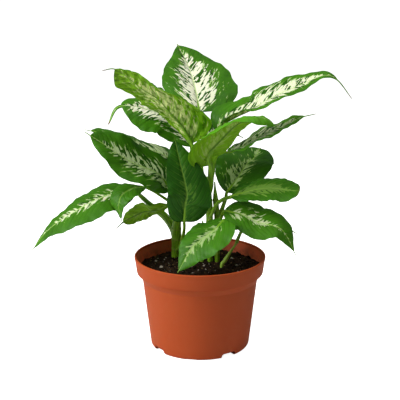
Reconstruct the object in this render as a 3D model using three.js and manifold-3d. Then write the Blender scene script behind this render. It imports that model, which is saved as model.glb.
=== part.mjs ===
// A potted dieffenbachia: a thin plastic nursery pot filled with potting soil, three leafy canes and
// two thin shoots that stand in holes in the soil, and eighteen leaves, each one blade and petiole.
// Millimetres, +Z up, origin at the middle of the pot's flat underside. The front of the plant faces -Y.

import * as THREE from 'three';
import { mergeVertices } from 'three/addons/utils/BufferGeometryUtils.js';
import Module from 'manifold-3d';

const wasm = await Module();
wasm.setup();

// Pot: a 6 inch azalea pot, 152.4 mm across the rim and 4.25 inches tall
const POT_HEIGHT = 108;
const RIM_RADIUS = 76.2;
const BAND_BOTTOM_Z = 89.2;
const BAND_BOTTOM_RADIUS = 72.7;
const SHOULDER_Z = 80.5;
const SHOULDER_RADIUS = 66.9;
const FOOT_RADIUS = 57.5;
const FOOT_ROUND = 2.4;
const FOOT_FLARE = 0.4;
const WALL = 1.6;
const FLOOR = 1.8;
const RIM_ROUND = 0.8;
const POT_SEGMENTS = 48;

// Drain notches round the foot: four tall ones with four low ones between them
const NOTCH_TURN = 35;
const TALL_NOTCH = { width: 19, height: 5.5 };
const LOW_NOTCH = { width: 13, height: 1.3 };
const NOTCH_INNER_RADIUS = 37;
const NOTCH_OVERCUT = 8;
const NOTCH_SHOULDER = 4;

// Soil
const SOIL_LEVEL = 93;
const SOIL_MOUND = 3;
const SOIL_RIPPLE = 1.1;
const SOIL_RINGS = 5;
const SOIL_SEGMENTS = 32;
const SOIL_EDGE_GAP = 1.2;
const SOIL_WALL_GAP = 0.6;
const GAP = 0.3;

// Leaves and stems
const BLADE_THICKNESS = 0.9;
const BLADE_ROWS = 12;
const BLADE_COLUMNS = [0, 0.09, 0.5, 1];
const BLADE_END_HALF_WIDTH = 0.6;
const DRIP_HALF_WIDTH = 1.6;
const RIB_DEPTH = 1.5;
const RIGHT_WAVE_SHIFT = 2;
const RIB_DROP = 0.6;
const PETIOLE_RADII = [2.3, 2, 1.7, 1.3];
const PETIOLE_SIDES = 6;
const PETIOLE_STEPS = 8;
const CANE_SIDES = 9;
const HOLE_GROWTH = 0.35;

const COLOURS = { pot: 0xb4532f, soil: 0x1c120c, cane: 0x4f8a26, leaf: 0x2f7d2a };

// Canes: centre line from its foot in the soil to its top, with the radius at each point
const CANES = [
  {
    name: 'cane_left',
    points: [[-29, 34, 60], [-29, 34, 94], [-28, 32, 116], [-28, 30, 132], [-26, 27, 150], [-22, 25, 167], [-20, 23, 182]],
    radii: [4.6, 5, 5.6, 5.8, 5.2, 4, 2.6],
    steps: 12,
  },
  {
    name: 'cane_centre',
    points: [[12, 12, 60], [12, 12, 95], [11, 11, 122], [11, 11, 153], [9, 11, 177], [8, 10, 199]],
    radii: [3.2, 3.2, 3.3, 3.5, 3.8, 4.2, 4.5, 4.4, 0.8],
    steps: 12,
  },
  {
    name: 'shoot_inner',
    points: [[2, 15, 60], [2, 15, 95], [2, 14, 116], [3, 12, 136], [3, 11, 146]],
    radii: [2.6, 2.8, 2.7, 2.2, 0.8],
    steps: 12,
  },
  {
    name: 'cane_right',
    points: [[20, 14, 60], [20, 14, 95], [20, 14, 122], [20, 14, 147], [18, 14, 172], [17, 14, 192]],
    radii: [3, 3.1, 3.5, 3.6, 3.4, 0.8],
    steps: 12,
  },
  {
    name: 'shoot_right',
    points: [[24, -8, 60], [25, -8, 95], [29, -7, 103], [34, -5, 111], [40, -2, 119], [44, 1, 126]],
    radii: [2.2, 2.3, 2.1, 2.4, 1.5, 1.2],
    steps: 12,
  },
];

// Leaves. mid is the midrib from the blade's base to its tip, up the way the upper face looks at the
// base, on the way and at the tip. left and right are the two halves, seen from above with the tip
// ahead: [half width, fold angles, curl angles] in mm and degrees, the angles again from base to tip,
// and a half that tapers in its own way has its taper as a fourth value. A fold lifts the half at the
// midrib and a curl bends its margin down. blunt and taper shape the outline at the base and at the
// tip, drip is the share of the length that is a thin drip tip, dripWidth its half width where it isn't
// the usual one, wave is [height, waves, phase], petiole runs from the cane to the blade, and stalk
// gives the petiole's radii where they aren't the usual ones.
const LEAVES = [
  {
    name: 'leaf_crown_back',
    mid: [[-1, 24, 271], [-3, 40, 283], [-8, 68, 301], [-16, 98, 320], [-28, 119, 340]],
    up: [[0.15, -0.45, 0.9], [0.05, -0.25, 0.95]],
    left: [40, [18], [22]],
    right: [51, [16], [24], 0.8],
    blunt: 0.45,
    taper: 0.85,
    drip: 0.02,
    wave: [1.6, 3, 0.5],
    petiole: [[9, 11, 174], [3, 15, 192], [-1, 18, 220], [-2, 21, 248]],
    dripWidth: 5,
  },
  {
    name: 'leaf_upper_left',
    mid: [[-9, -4, 240], [-19, -10, 260], [-31, -15, 276], [-45, -20, 293], [-62, -24, 305], [-89, -29, 326], [-105, -33, 326]],
    up: [[0.05, 0.8, 0.6], [0.23, 0.66, 0.71], [0.44, 0.57, 0.7]],
    left: [40, [18, -4, 20], [25], 0.88],
    right: [45, [56, 23, -12], [10], 0.58],
    blunt: 0.48,
    taper: 0.49,
    drip: 0.1,
    wave: [2, 3, 0],
    petiole: [[9, 10, 172], [4, 5, 188], [0, 1, 205], [-5, -3, 224]],
  },
  {
    name: 'leaf_upper_left_rear',
    mid: [[-10, 26, 231], [-24, 32, 247], [-40, 35, 265], [-69, 34, 275], [-94, 26, 277], [-105, 18, 258]],
    up: [[0.55, -0.3, 0.8], [0.38, -0.5, 0.8], [-0.4, -0.7, 0.55]],
    left: [32, [4], [32], 0.45],
    right: [25, [4], [32]],
    blunt: 0.6,
    taper: 0.55,
    drip: 0.22,
    wave: [1.2, 3, 1],
    petiole: [[-17, 26, 172], [-14, 27, 196], [-11, 27, 216]],
    dripWidth: 5,
  },
  {
    name: 'leaf_mid_left',
    mid: [[-34, 6, 184], [-48, 2, 204], [-77, -6, 219], [-103, -12, 238], [-128, -16, 256]],
    up: [[0, -0.53, 0.82], [0, -0.6, 0.8]],
    left: [30, [14], [22], 0.8],
    right: [30, [16], [24], 0.6],
    blunt: 0.52,
    taper: 0.66,
    drip: 0.06,
    wave: [1.4, 3, 0.4],
    petiole: [[-24, 22, 166], [-28, 15, 172], [-31, 10, 178]],
  },
  {
    name: 'leaf_mid_left_rear',
    mid: [[-24, 36, 205], [-47, 41, 220], [-77, 43, 228], [-105, 42, 241], [-134, 36, 249]],
    up: [[0.2, -0.36, 0.91], [0.15, -0.36, 0.92]],
    left: [24, [12], [25]],
    right: [31, [0], [32], 0.6],
    blunt: 0.55,
    taper: 0.87,
    drip: 0.06,
    wave: [1.2, 3, 2],
    petiole: [[-21, 29, 174], [-22, 33, 186], [-23, 35, 196]],
  },
  {
    name: 'leaf_low_left_long',
    mid: [[-75, 14, 181], [-105, 6, 178], [-132, -4, 168], [-171, -14, 144], [-193, -21, 118]],
    up: [[-0.5, -0.5, 0.7], [-0.65, -0.42, 0.6]],
    left: [31, [9], [25]],
    right: [27, [7], [28], 1.3],
    blunt: 0.56,
    taper: 1,
    drip: 0.03,
    wave: [0.9, 4, 0.4],
    petiole: [[-28, 33, 116], [-32, 36, 130], [-42, 42, 143], [-57, 43, 155], [-69, 28, 171]],
    stalk: [5.2, 5, 3.2, 2.1, 1.3],
  },
  {
    name: 'leaf_low_left_small',
    mid: [[-62, 0, 189], [-76, -10, 190], [-88, -21, 184], [-91, -27, 172], [-88, -27, 155]],
    up: [[-0.1, -0.35, 0.94], [-0.25, -0.8, 0.53], [-0.75, -0.65, 0.1]],
    left: [15, [18], [14]],
    right: [16, [0], [28]],
    blunt: 0.58,
    taper: 0.87,
    drip: 0.05,
    wave: [0.8, 3, 0],
    petiole: [[-26, 22, 158], [-36, 16, 168], [-50, 8, 180]],
  },
  {
    name: 'leaf_low_left_rear',
    mid: [[-38, 21, 163], [-54, 25, 155], [-68, 28, 152], [-88, 30, 141], [-100, 29, 131]],
    up: [[-0.4, 0.5, 0.75], [-0.2, 0.88, 0.42]],
    left: [18, [12], [11], 0.8],
    right: [17, [6], [14]],
    blunt: 0.5,
    taper: 0.5,
    drip: 0.16,
    wave: [1, 3, 0],
    petiole: [[-26, 26, 154], [-31, 24, 159]],
  },
  {
    name: 'leaf_front_upright',
    mid: [[-18, -16, 152], [-17, -18, 172], [-15, -18, 188], [-23, -12, 223], [-29, -4, 248]],
    up: [[0.07, -0.98, 0.17], [0.05, -0.95, 0.32]],
    left: [22, [18], [16], 0.65],
    right: [28, [12], [20]],
    blunt: 0.34,
    taper: 0.85,
    drip: 0.04,
    wave: [1.2, 3, 1],
    petiole: [[-28, 32, 103], [-24, 20, 110], [-20, 5, 127], [-18, -9, 143]],
  },
  {
    name: 'leaf_front_drooping',
    mid: [[27, -16, 155], [16, -28, 146], [-8, -42, 130], [-25, -54, 104]],
    up: [[-0.45, -0.5, 0.72], [-0.4, -0.85, 0.35]],
    left: [30, [11], [18], 0.85],
    right: [23, [10], [18]],
    blunt: 0.42,
    taper: 1,
    drip: 0.03,
    wave: [1, 3, 0],
    petiole: [[15, 6, 122], [20, 0, 136], [26, -9, 149]],
  },
  {
    name: 'leaf_low_right',
    mid: [[28, -4, 162], [51, -10, 158], [67, -16, 151], [92, -22, 145], [109, -27, 116]],
    up: [[0.16, -0.49, 0.86], [0.64, -0.57, 0.52]],
    left: [28, [10], [25]],
    right: [26, [9], [24], 1.05],
    blunt: 0.51,
    taper: 0.97,
    drip: 0.04,
    wave: [0.7, 3, 0],
    petiole: [[21, 9, 138], [23, 5, 148], [26, 0, 157]],
  },
  {
    name: 'leaf_low_right_rear',
    mid: [[49, 4, 137], [65, 4, 144], [88, 2, 146], [112, -2, 134]],
    up: [[0, -0.49, 0.87], [0.21, -0.52, 0.83]],
    left: [15, [10], [20]],
    right: [15, [10], [20]],
    blunt: 0.55,
    taper: 0.85,
    drip: 0.1,
    wave: [0.8, 3, 0],
    petiole: [[42, 0, 122], [46, 3, 131]],
  },
  {
    name: 'leaf_mid_right_round',
    mid: [[31, 18, 178], [44, 35, 191], [56, 55, 204], [65, 73, 207], [75, 87, 218]],
    up: [[0.1, -0.44, 0.89], [-0.2, -0.45, 0.87]],
    left: [37, [29], [45], 0.45],
    right: [31, [16], [30], 0.4],
    blunt: 0.57,
    taper: 0.45,
    drip: 0.03,
    wave: [1.4, 3, 0],
    petiole: [[23, 16, 150], [27, 17, 162], [30, 17, 171]],
  },
  {
    name: 'leaf_mid_right_flat',
    mid: [[36, 4, 177], [58, 1, 184], [79, -2, 188], [98, -6, 187], [113, -10, 187]],
    up: [[0.1, -0.36, 0.93], [0, -0.5, 0.86]],
    left: [23, [8], [30]],
    right: [22, [12], [24]],
    blunt: 0.46,
    taper: 0.36,
    drip: 0,
    wave: [1, 3, 0],
    petiole: [[9, 7, 136], [11, 4, 148], [15, 2, 160], [19, 2, 168], [27, 3, 174]],
    stalk: [2.3, 2.2, 2.4, 2.2],
  },
  {
    name: 'leaf_upper_right_long',
    mid: [[18, 12, 251], [31, 8, 265], [49, 4, 274], [62, 0, 281], [83, -5, 294], [111, -9, 307], [136, -12, 318], [151, -14, 313], [167, -16, 293]],
    up: [[0.4, -0.45, 0.8], [0.39, -0.36, 0.85], [0.2, -0.4, 0.89]],
    left: [32, [11, 7, 0], [18]],
    right: [22, [63, 20, 4], [14]],
    blunt: 0.45,
    taper: 0.82,
    drip: 0.14,
    wave: [1.4, 4, 0],
    petiole: [[9, 11, 183], [14, 11, 199], [16, 13, 218], [16, 13, 236]],
    dripWidth: 2.8,
  },
  {
    name: 'leaf_centre_bent',
    mid: [[12, -8, 216], [10, -14, 231], [25, -24, 251], [39, -34, 267], [56, -44, 277], [71, -50, 276], [86, -50, 264]],
    up: [[0, 0.86, 0.5], [0.14, 0.3, 0.94], [0.7, -0.3, 0.6]],
    left: [17, [7], [9]],
    right: [35, [7], [58]],
    blunt: 0.52,
    taper: 0.86,
    drip: 0.05,
    wave: [1.2, 3, 0],
    petiole: [[10, 10, 176], [12, 3, 188], [12, -2, 199], [12, -6, 208]],
    stalk: [2.4, 3.1, 3, 1.8],
  },
  {
    name: 'leaf_upper_right_narrow',
    mid: [[32, 25, 225], [48, 28, 230], [72, 31, 243], [99, 32, 255], [115, 30, 264], [134, 28, 269]],
    up: [[-0.32, -0.1, 0.95], [-0.32, -0.3, 0.9]],
    left: [22, [10], [22]],
    right: [23, [16], [14]],
    blunt: 0.5,
    taper: 0.75,
    drip: 0.12,
    wave: [1.4, 3, 0],
    petiole: [[9, 11, 172], [13, 17, 187], [15, 20, 204], [18, 22, 218], [25, 23, 225]],
    dripWidth: 2,
  },
  {
    name: 'leaf_inner_small',
    mid: [[4, 26, 235], [15, 34, 242], [29, 38, 249], [51, 36, 239]],
    up: [[0.02, -0.53, 0.84], [0.06, -0.56, 0.82]],
    left: [16, [11], [18]],
    right: [12, [10], [20]],
    blunt: 0.58,
    taper: 0.82,
    drip: 0.1,
    wave: [0.6, 3, 0],
    petiole: [[9, 11, 166], [5, 18, 182], [3, 23, 200], [2, 26, 219]],
  },
];

const radians = (degrees) => THREE.MathUtils.degToRad(degrees);
const vector = (point) => new THREE.Vector3(...point);

// A closed geometry whose shared corners are joined, so that only positions and triangles are left
function joined(geometry) {
  const bare = geometry.clone();
  for (const name of Object.keys(bare.attributes)) {
    if (name !== 'position') bare.deleteAttribute(name);
  }
  return mergeVertices(bare, 1e-4);
}

function toSolid(geometry) {
  const bare = joined(geometry);
  const mesh = new wasm.Mesh({
    numProp: 3,
    vertProperties: new Float32Array(bare.attributes.position.array),
    triVerts: new Uint32Array(bare.index.array),
  });
  return new wasm.Manifold(mesh);
}

function toGeometry(solid) {
  const mesh = solid.getMesh();
  const geometry = new THREE.BufferGeometry();
  geometry.setAttribute('position', new THREE.BufferAttribute(new Float32Array(mesh.vertProperties), 3));
  geometry.setIndex(new THREE.BufferAttribute(new Uint32Array(mesh.triVerts), 1));
  return geometry;
}

function fromGrid(positions, triangles) {
  const geometry = new THREE.BufferGeometry();
  geometry.setAttribute('position', new THREE.Float32BufferAttribute(positions, 3));
  geometry.setIndex(triangles);
  return geometry;
}

function painted(name, geometry, colour, roughness) {
  const material = new THREE.MeshStandardMaterial({ color: colour, roughness, metalness: 0 });
  const mesh = new THREE.Mesh(geometry, material);
  mesh.name = name;
  return mesh;
}

// A value that runs smoothly through evenly spaced stops as t goes from 0 to 1
function along(stops, t) {
  if (stops.length === 1) return stops[0];
  const place = Math.min(t, 1) * (stops.length - 1);
  const first = Math.min(Math.floor(place), stops.length - 2);
  const blend = THREE.MathUtils.smoothstep(place - first, 0, 1);
  return THREE.MathUtils.lerp(stops[first], stops[first + 1], blend);
}

// A closed round bar along a curve, with its radius given at evenly spaced stops
function bar(points, radii, sides, steps, growth = 0) {
  const curve = new THREE.CatmullRomCurve3(points.map(vector));
  const frames = curve.computeFrenetFrames(steps, false);
  const positions = [];
  const triangles = [];
  for (let step = 0; step <= steps; step += 1) {
    const centre = curve.getPointAt(step / steps);
    const radius = along(radii, step / steps) + growth;
    for (let side = 0; side < sides; side += 1) {
      const angle = (side / sides) * 2 * Math.PI;
      const point = centre.clone();
      point.addScaledVector(frames.normals[step], radius * Math.cos(angle));
      point.addScaledVector(frames.binormals[step], radius * Math.sin(angle));
      positions.push(point.x, point.y, point.z);
    }
  }
  const ends = [curve.getPointAt(0), curve.getPointAt(1)];
  const firstEnd = positions.length / 3;
  for (const end of ends) positions.push(end.x, end.y, end.z);
  for (let side = 0; side < sides; side += 1) {
    const next = (side + 1) % sides;
    for (let step = 0; step < steps; step += 1) {
      const a = step * sides + side;
      const b = step * sides + next;
      triangles.push(a, b, b + sides, a, b + sides, a + sides);
    }
    triangles.push(firstEnd, next, side);
    triangles.push(firstEnd + 1, steps * sides + side, steps * sides + next);
  }
  return fromGrid(positions, triangles);
}

// The midrib of a leaf with, at each row, the upper face's direction and the direction to its right
function midribFrames(leaf, rows) {
  const curve = new THREE.CatmullRomCurve3(leaf.mid.map(vector), false, 'catmullrom', 0.5);
  const frames = [];
  for (let row = 0; row <= rows; row += 1) {
    const t = row / rows;
    const tangent = curve.getTangentAt(t);
    const up = new THREE.Vector3();
    up.x = along(leaf.up.map((stop) => stop[0]), t);
    up.y = along(leaf.up.map((stop) => stop[1]), t);
    up.z = along(leaf.up.map((stop) => stop[2]), t);
    up.addScaledVector(tangent, -up.dot(tangent)).normalize();
    const right = new THREE.Vector3().crossVectors(tangent, up);
    frames.push({ t, centre: curve.getPointAt(t), up, right });
  }
  return frames;
}

// The outline's half width at t as a share of the widest one
function outline(leaf, t, taper) {
  const peak = leaf.blunt / (leaf.blunt + taper);
  const widest = peak ** leaf.blunt * (1 - peak) ** taper;
  const body = Math.min(t / (1 - leaf.drip), 1);
  return (body ** leaf.blunt * (1 - body) ** taper) / widest;
}

// The least half width, so that the drip tip narrows to a point and the base isn't a sharp edge
function leastHalfWidth(leaf, t) {
  return BLADE_END_HALF_WIDTH + (t > 0.5 ? (leaf.dripWidth ?? DRIP_HALF_WIDTH) * Math.sqrt(1 - t) : 0);
}

// The middle surface of a blade as a grid of points from the left margin to the right one
function bladeSheet(leaf) {
  const frames = midribFrames(leaf, BLADE_ROWS);
  const [waveHeight, waves, wavePhase] = leaf.wave;
  return frames.map(({ t, centre, up, right }) => {
    const row = [];
    for (const column of [...BLADE_COLUMNS.slice(1).reverse().map((u) => -u), ...BLADE_COLUMNS]) {
      const side = column < 0 ? -1 : 1;
      const [halfWidth, folds, curls, taper = leaf.taper] = side < 0 ? leaf.left : leaf.right;
      const share = outline(leaf, t, taper);
      const u = Math.abs(column);
      const width = Math.max(halfWidth * share, leastHalfWidth(leaf, t));
      const fold = radians(along(folds, t));
      const curl = radians(Math.max(along(curls, t), 1));
      const across = (width / curl) * (Math.sin(fold) - Math.sin(fold - curl * u));
      const shift = wavePhase + (side < 0 ? 0 : RIGHT_WAVE_SHIFT);
      const ripple = waveHeight * u * u * Math.sin(2 * Math.PI * waves * t + shift) * Math.min(1, 2 * share);
      const rise = (width / curl) * (Math.cos(fold - curl * u) - Math.cos(fold)) + ripple;
      const point = centre.clone().addScaledVector(right, side * across).addScaledVector(up, rise);
      row.push(point);
    }
    return row;
  });
}

// The blade as a thin closed solid: the sheet moved half its thickness up and down, with a rim
// round it, a raised midrib below, and both faces split into the same triangles
function bladeGeometry(leaf) {
  const sheet = bladeSheet(leaf);
  const rows = sheet.length;
  const columns = sheet[0].length;
  const positions = [];
  const triangles = [];
  for (const side of [0.5, -0.5]) {
    sheet.forEach((row, r) => {
      row.forEach((point, c) => {
        const ahead = sheet[Math.min(r + 1, rows - 1)][c].clone().sub(sheet[Math.max(r - 1, 0)][c]);
        const across = row[Math.min(c + 1, columns - 1)].clone().sub(row[Math.max(c - 1, 0)]);
        const normal = new THREE.Vector3().crossVectors(across, ahead).normalize();
        const isRib = side < 0 && c === (columns - 1) / 2;
        const rib = isRib ? RIB_DEPTH * Math.sqrt(1 - r / (rows - 1)) : 0;
        const moved = point.clone().addScaledVector(normal, side * BLADE_THICKNESS - rib);
        positions.push(moved.x, moved.y, moved.z);
      });
    });
  }
  const under = rows * columns;
  const quad = (a, b, c, d) => triangles.push(a, b, c, a, c, d);
  for (let r = 0; r < rows - 1; r += 1) {
    for (let c = 0; c < columns - 1; c += 1) {
      const a = r * columns + c;
      quad(a, a + 1, a + columns + 1, a + columns);
      triangles.push(under + a, under + a + columns + 1, under + a + 1);
      triangles.push(under + a, under + a + columns, under + a + columns + 1);
    }
    const left = r * columns;
    const right = left + columns - 1;
    quad(left, left + columns, under + left + columns, under + left);
    quad(right, under + right, under + right + columns, right + columns);
  }
  for (let c = 0; c < columns - 1; c += 1) {
    const base = c;
    const tip = (rows - 1) * columns + c;
    quad(base, under + base, under + base + 1, base + 1);
    quad(tip, tip + 1, under + tip + 1, under + tip);
  }
  return fromGrid(positions, triangles);
}

// The petiole, which ends a little way under the blade, where the midrib takes over
function petioleGeometry(leaf) {
  const neck = midribFrames(leaf, BLADE_ROWS)
    .slice(0, 2)
    .map(({ centre, up }) => centre.clone().addScaledVector(up, -RIB_DROP).toArray());
  return bar([...leaf.petiole, ...neck], leaf.stalk ?? PETIOLE_RADII, PETIOLE_SIDES, PETIOLE_STEPS);
}

const caneGeometry = (cane, growth = 0) => bar(cane.points, cane.radii, CANE_SIDES, cane.steps, growth);

// Soil surface: a low mound with small ripples, by a formula
function soilHeight(x, y) {
  const away = Math.hypot(x, y) / SHOULDER_RADIUS;
  const ripple = Math.sin(x * 0.31 + 1.3) * Math.cos(y * 0.27) + 0.6 * Math.sin(x * 0.17 - y * 0.23);
  return SOIL_LEVEL + SOIL_MOUND * (1 - away * away) + SOIL_RIPPLE * ripple;
}

function innerRadius(z) {
  if (z >= BAND_BOTTOM_Z) {
    const share = (z - BAND_BOTTOM_Z) / (POT_HEIGHT - BAND_BOTTOM_Z);
    return THREE.MathUtils.lerp(BAND_BOTTOM_RADIUS, RIM_RADIUS, share) - WALL;
  }
  const share = z / SHOULDER_Z;
  return THREE.MathUtils.lerp(FOOT_RADIUS, SHOULDER_RADIUS, share) - WALL;
}

function lathe(profile, segments) {
  const geometry = new THREE.LatheGeometry(profile.map(([r, z]) => new THREE.Vector2(r, z)), segments);
  geometry.rotateX(Math.PI / 2);
  return geometry;
}

// One notch: an arch-topped block laid along the radius at the foot
function notchSolid({ width, height }, degrees) {
  const arch = new THREE.Shape();
  const springing = height / 3;
  const flat = width / 2 - NOTCH_SHOULDER;
  arch.moveTo(-width / 2, -height);
  arch.lineTo(width / 2, -height);
  arch.lineTo(width / 2, springing);
  arch.quadraticCurveTo(width / 2, height, flat, height);
  arch.lineTo(-flat, height);
  arch.quadraticCurveTo(-width / 2, height, -width / 2, springing);
  arch.closePath();
  const geometry = new THREE.ExtrudeGeometry(arch, {
    depth: FOOT_RADIUS + NOTCH_OVERCUT - NOTCH_INNER_RADIUS,
    bevelEnabled: false,
    curveSegments: 3,
  });
  geometry.rotateX(Math.PI / 2);
  geometry.translate(0, -NOTCH_INNER_RADIUS, 0);
  geometry.rotateZ(radians(degrees));
  return toSolid(geometry);
}

function potMesh() {
  const corner = FOOT_ROUND * (1 - Math.SQRT1_2);
  const profile = [
    [0, 0],
    [FOOT_RADIUS - FOOT_ROUND, 0],
    [FOOT_RADIUS - corner, corner],
    [FOOT_RADIUS + FOOT_FLARE, FOOT_ROUND],
    [SHOULDER_RADIUS, SHOULDER_Z],
    [BAND_BOTTOM_RADIUS, BAND_BOTTOM_Z],
    [RIM_RADIUS, POT_HEIGHT - RIM_ROUND],
    [RIM_RADIUS - RIM_ROUND / 2, POT_HEIGHT],
    [RIM_RADIUS - WALL, POT_HEIGHT - RIM_ROUND / 4],
    [innerRadius(BAND_BOTTOM_Z), BAND_BOTTOM_Z],
    [innerRadius(SHOULDER_Z), SHOULDER_Z],
    [innerRadius(FOOT_ROUND), FOOT_ROUND],
    [innerRadius(0) - FOOT_ROUND / 2, FLOOR],
    [0, FLOOR],
  ];
  let solid = toSolid(lathe(profile, POT_SEGMENTS));
  for (let quarter = 0; quarter < 4; quarter += 1) {
    const tallAt = NOTCH_TURN + quarter * 90;
    solid = solid.subtract(notchSolid(TALL_NOTCH, tallAt));
    solid = solid.subtract(notchSolid(LOW_NOTCH, tallAt + 45));
  }
  return painted('pot', toGeometry(solid), COLOURS.pot, 0.45);
}

// Soil: a plug that fills the pot clear of its wall and floor, with a hole for each cane. It stands
// back from the tall notches, which stay open as far in as they reach.
function soilMesh() {
  const bottom = FLOOR + GAP;
  const top = [];
  for (let ring = 0; ring <= SOIL_RINGS; ring += 1) {
    const share = 1 - ring / SOIL_RINGS;
    top.push([(innerRadius(SOIL_LEVEL) - SOIL_EDGE_GAP) * share, SOIL_LEVEL]);
  }
  const profile = [
    [0, bottom],
    [innerRadius(0) - FOOT_ROUND, bottom],
    [innerRadius(FOOT_ROUND) - SOIL_WALL_GAP, FOOT_ROUND],
    [innerRadius(SHOULDER_Z) - SOIL_WALL_GAP, SHOULDER_Z],
    [innerRadius(BAND_BOTTOM_Z) - SOIL_WALL_GAP, BAND_BOTTOM_Z],
    ...top,
  ];
  const geometry = joined(lathe(profile, SOIL_SEGMENTS));
  const position = geometry.attributes.position;
  for (let i = 0; i < position.count; i += 1) {
    if (position.getZ(i) > SOIL_LEVEL - 0.01) {
      position.setZ(i, soilHeight(position.getX(i), position.getY(i)));
    }
  }
  let solid = toSolid(geometry);
  const opening = { width: TALL_NOTCH.width + 2 * SOIL_WALL_GAP, height: TALL_NOTCH.height + SOIL_WALL_GAP };
  for (let quarter = 0; quarter < 4; quarter += 1) {
    solid = solid.subtract(notchSolid(opening, NOTCH_TURN + quarter * 90));
  }
  for (const cane of CANES) {
    solid = solid.subtract(toSolid(caneGeometry(cane, HOLE_GROWTH)));
  }
  return painted('soil', toGeometry(solid), COLOURS.soil, 0.95);
}

const caneMesh = (cane) => painted(cane.name, caneGeometry(cane), COLOURS.cane, 0.45);

// The largest body of a solid, without the scraps that a cut can leave
function largestBody(solid) {
  return solid.decompose().reduce((best, body) => (body.volume() > best.volume() ? body : best));
}

// A leaf: blade and petiole in one solid, cut 0.3 mm clear of the canes that it grows from
function leafMesh(leaf) {
  let solid = toSolid(bladeGeometry(leaf)).add(toSolid(petioleGeometry(leaf)));
  for (const cane of CANES) {
    solid = solid.subtract(toSolid(caneGeometry(cane, HOLE_GROWTH)));
  }
  return painted(leaf.name, toGeometry(largestBody(solid)), COLOURS.leaf, 0.4);
}

const plant = new THREE.Group();
plant.add(potMesh());
plant.add(soilMesh());
for (const cane of CANES) plant.add(caneMesh(cane));
for (const leaf of LEAVES) plant.add(leafMesh(leaf));

export default plant;
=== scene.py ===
"""A potted dieffenbachia: marbled leaves on green canes in a terracotta-coloured plastic pot.

The frame's solids give each piece its place. Sizes in the tables are millimetres, as in the frame's
own source, and become metres when a mesh is made. +Z is up and the front of the plant faces -Y.
"""

import math
import random

import bpy
import numpy as np
from bpy.props import FloatProperty, FloatVectorProperty, IntProperty, PointerProperty
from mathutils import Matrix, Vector, noise


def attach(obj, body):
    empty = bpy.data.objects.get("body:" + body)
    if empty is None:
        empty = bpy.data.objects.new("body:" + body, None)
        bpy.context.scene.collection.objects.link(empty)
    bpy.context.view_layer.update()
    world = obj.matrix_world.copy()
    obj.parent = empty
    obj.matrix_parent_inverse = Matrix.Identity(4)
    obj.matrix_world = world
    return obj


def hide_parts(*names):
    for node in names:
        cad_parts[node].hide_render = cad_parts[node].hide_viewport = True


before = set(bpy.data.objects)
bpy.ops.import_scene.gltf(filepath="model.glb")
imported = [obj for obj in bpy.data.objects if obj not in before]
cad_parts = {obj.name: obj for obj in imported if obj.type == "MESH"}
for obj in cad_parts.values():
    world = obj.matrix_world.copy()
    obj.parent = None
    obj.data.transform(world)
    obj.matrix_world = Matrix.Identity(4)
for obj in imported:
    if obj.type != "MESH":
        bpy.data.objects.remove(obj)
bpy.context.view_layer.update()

bl_info = {
    "name": "Potted Dieffenbachia",
    "version": (1, 0, 0),
    "blender": (4, 5, 0),
    "location": "View3D > Sidebar > Dieffenbachia",
    "description": "Dresses the potted dieffenbachia: pot, soil, canes, leaves and stage",
    "category": "Object",
}

MM = 0.001
BODY = "root"

# Pot profile, as in the solids
POT_HEIGHT = 108.0
RIM_RADIUS = 76.2
BAND_BOTTOM_Z = 89.2
BAND_BOTTOM_RADIUS = 72.7
SHOULDER_Z = 80.5
SHOULDER_RADIUS = 66.9
FOOT_RADIUS = 57.5
FOOT_ROUND = 2.4
WALL = 1.6
FLOOR = 1.8

# Finer form of the pot: the step under its band, the rolled rim and the rounded corners
BAND_LIP = 0.8
BAND_UNDERCUT = 1.3
BAND_STEP = 1.2
ROLL_TOP = 0.3
ROLL_BOTTOM = 2.0
ROLL_FOOT = 2.4
ROLL_DEPTH = 0.35
BEAD_HEIGHT = 1.4
BEAD_FOOT = 2.2
BEAD_DEPTH = 0.3
FOOT_FLARE = 0.4
CORNER_ROUND = 0.4
CORNER_STEPS = 4
CORNER_SHARE = 0.45
WALL_RINGS = (8.0, 10.0, 34.0, 58.0)
SMOOTH_ANGLE = 40
STAIN_TOP = 2.5
RIM_CLEAN = 3.0

# Drain notches round the foot, as (width, height)
NOTCH_TURN = 35
TALL_NOTCH = (19.0, 5.5)
LOW_NOTCH = (13.0, 1.3)
LOW_NOTCH_TURN = 45
NOTCH_INNER_RADIUS = 37.0
NOTCH_OVERCUT = 8.0
NOTCH_SHOULDER = 4.0
NOTCH_STEPS = 8

# Soil surface, by the same formula as the solid's, with clods as (height, rate, layer) on it
SOIL_LEVEL = 93.0
SOIL_MOUND = 3.0
SOIL_RIPPLE = 1.1
LONG_RIPPLE = (0.31, 1.3, 0.27)
CROSS_RIPPLE = (0.6, 0.17, 0.23)
SOIL_EDGE_GAP = 0.5
SOIL_FLOOR_GAP = 0.3
SOIL_RINGS = 80
SOIL_STEPS = 240
CLODS = ((1.5, 0.16, 2.0), (1.1, 0.42, 5.0))
GRIT = (0.6, 1.1, 9.0)

# What is strewn on the soil: smallest and largest radius, and bands of points on each lump. Lifts,
# widths and heights are shares of a lump's radius. A placed lump has one lift, size and turn.
STREWN_EDGE = 2.5
STREWN_SEED = 11
LUMP_LIFTS = (-0.25, 0.35)
LUMP_WIDTHS = (0.6, 1.0)
LUMP_HEIGHTS = (0.5, 0.85)
LUMP_UNEVENNESS = 0.45
LUMP_RATE = 1.3
PLACED_LUMP = (0.1, (0.9, 0.7), 0.0)
CRUMBS = (0.5, 2.4, 5)
GRAINS = (0.45, 1.9, 8)
CHIPS = (0.5, 1.7, 4)
LARGE_GRAINS = ((-45.0, -9.0, 2.2), (-52.0, 12.0, 1.4), (46.0, 2.0, 1.5))

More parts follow.
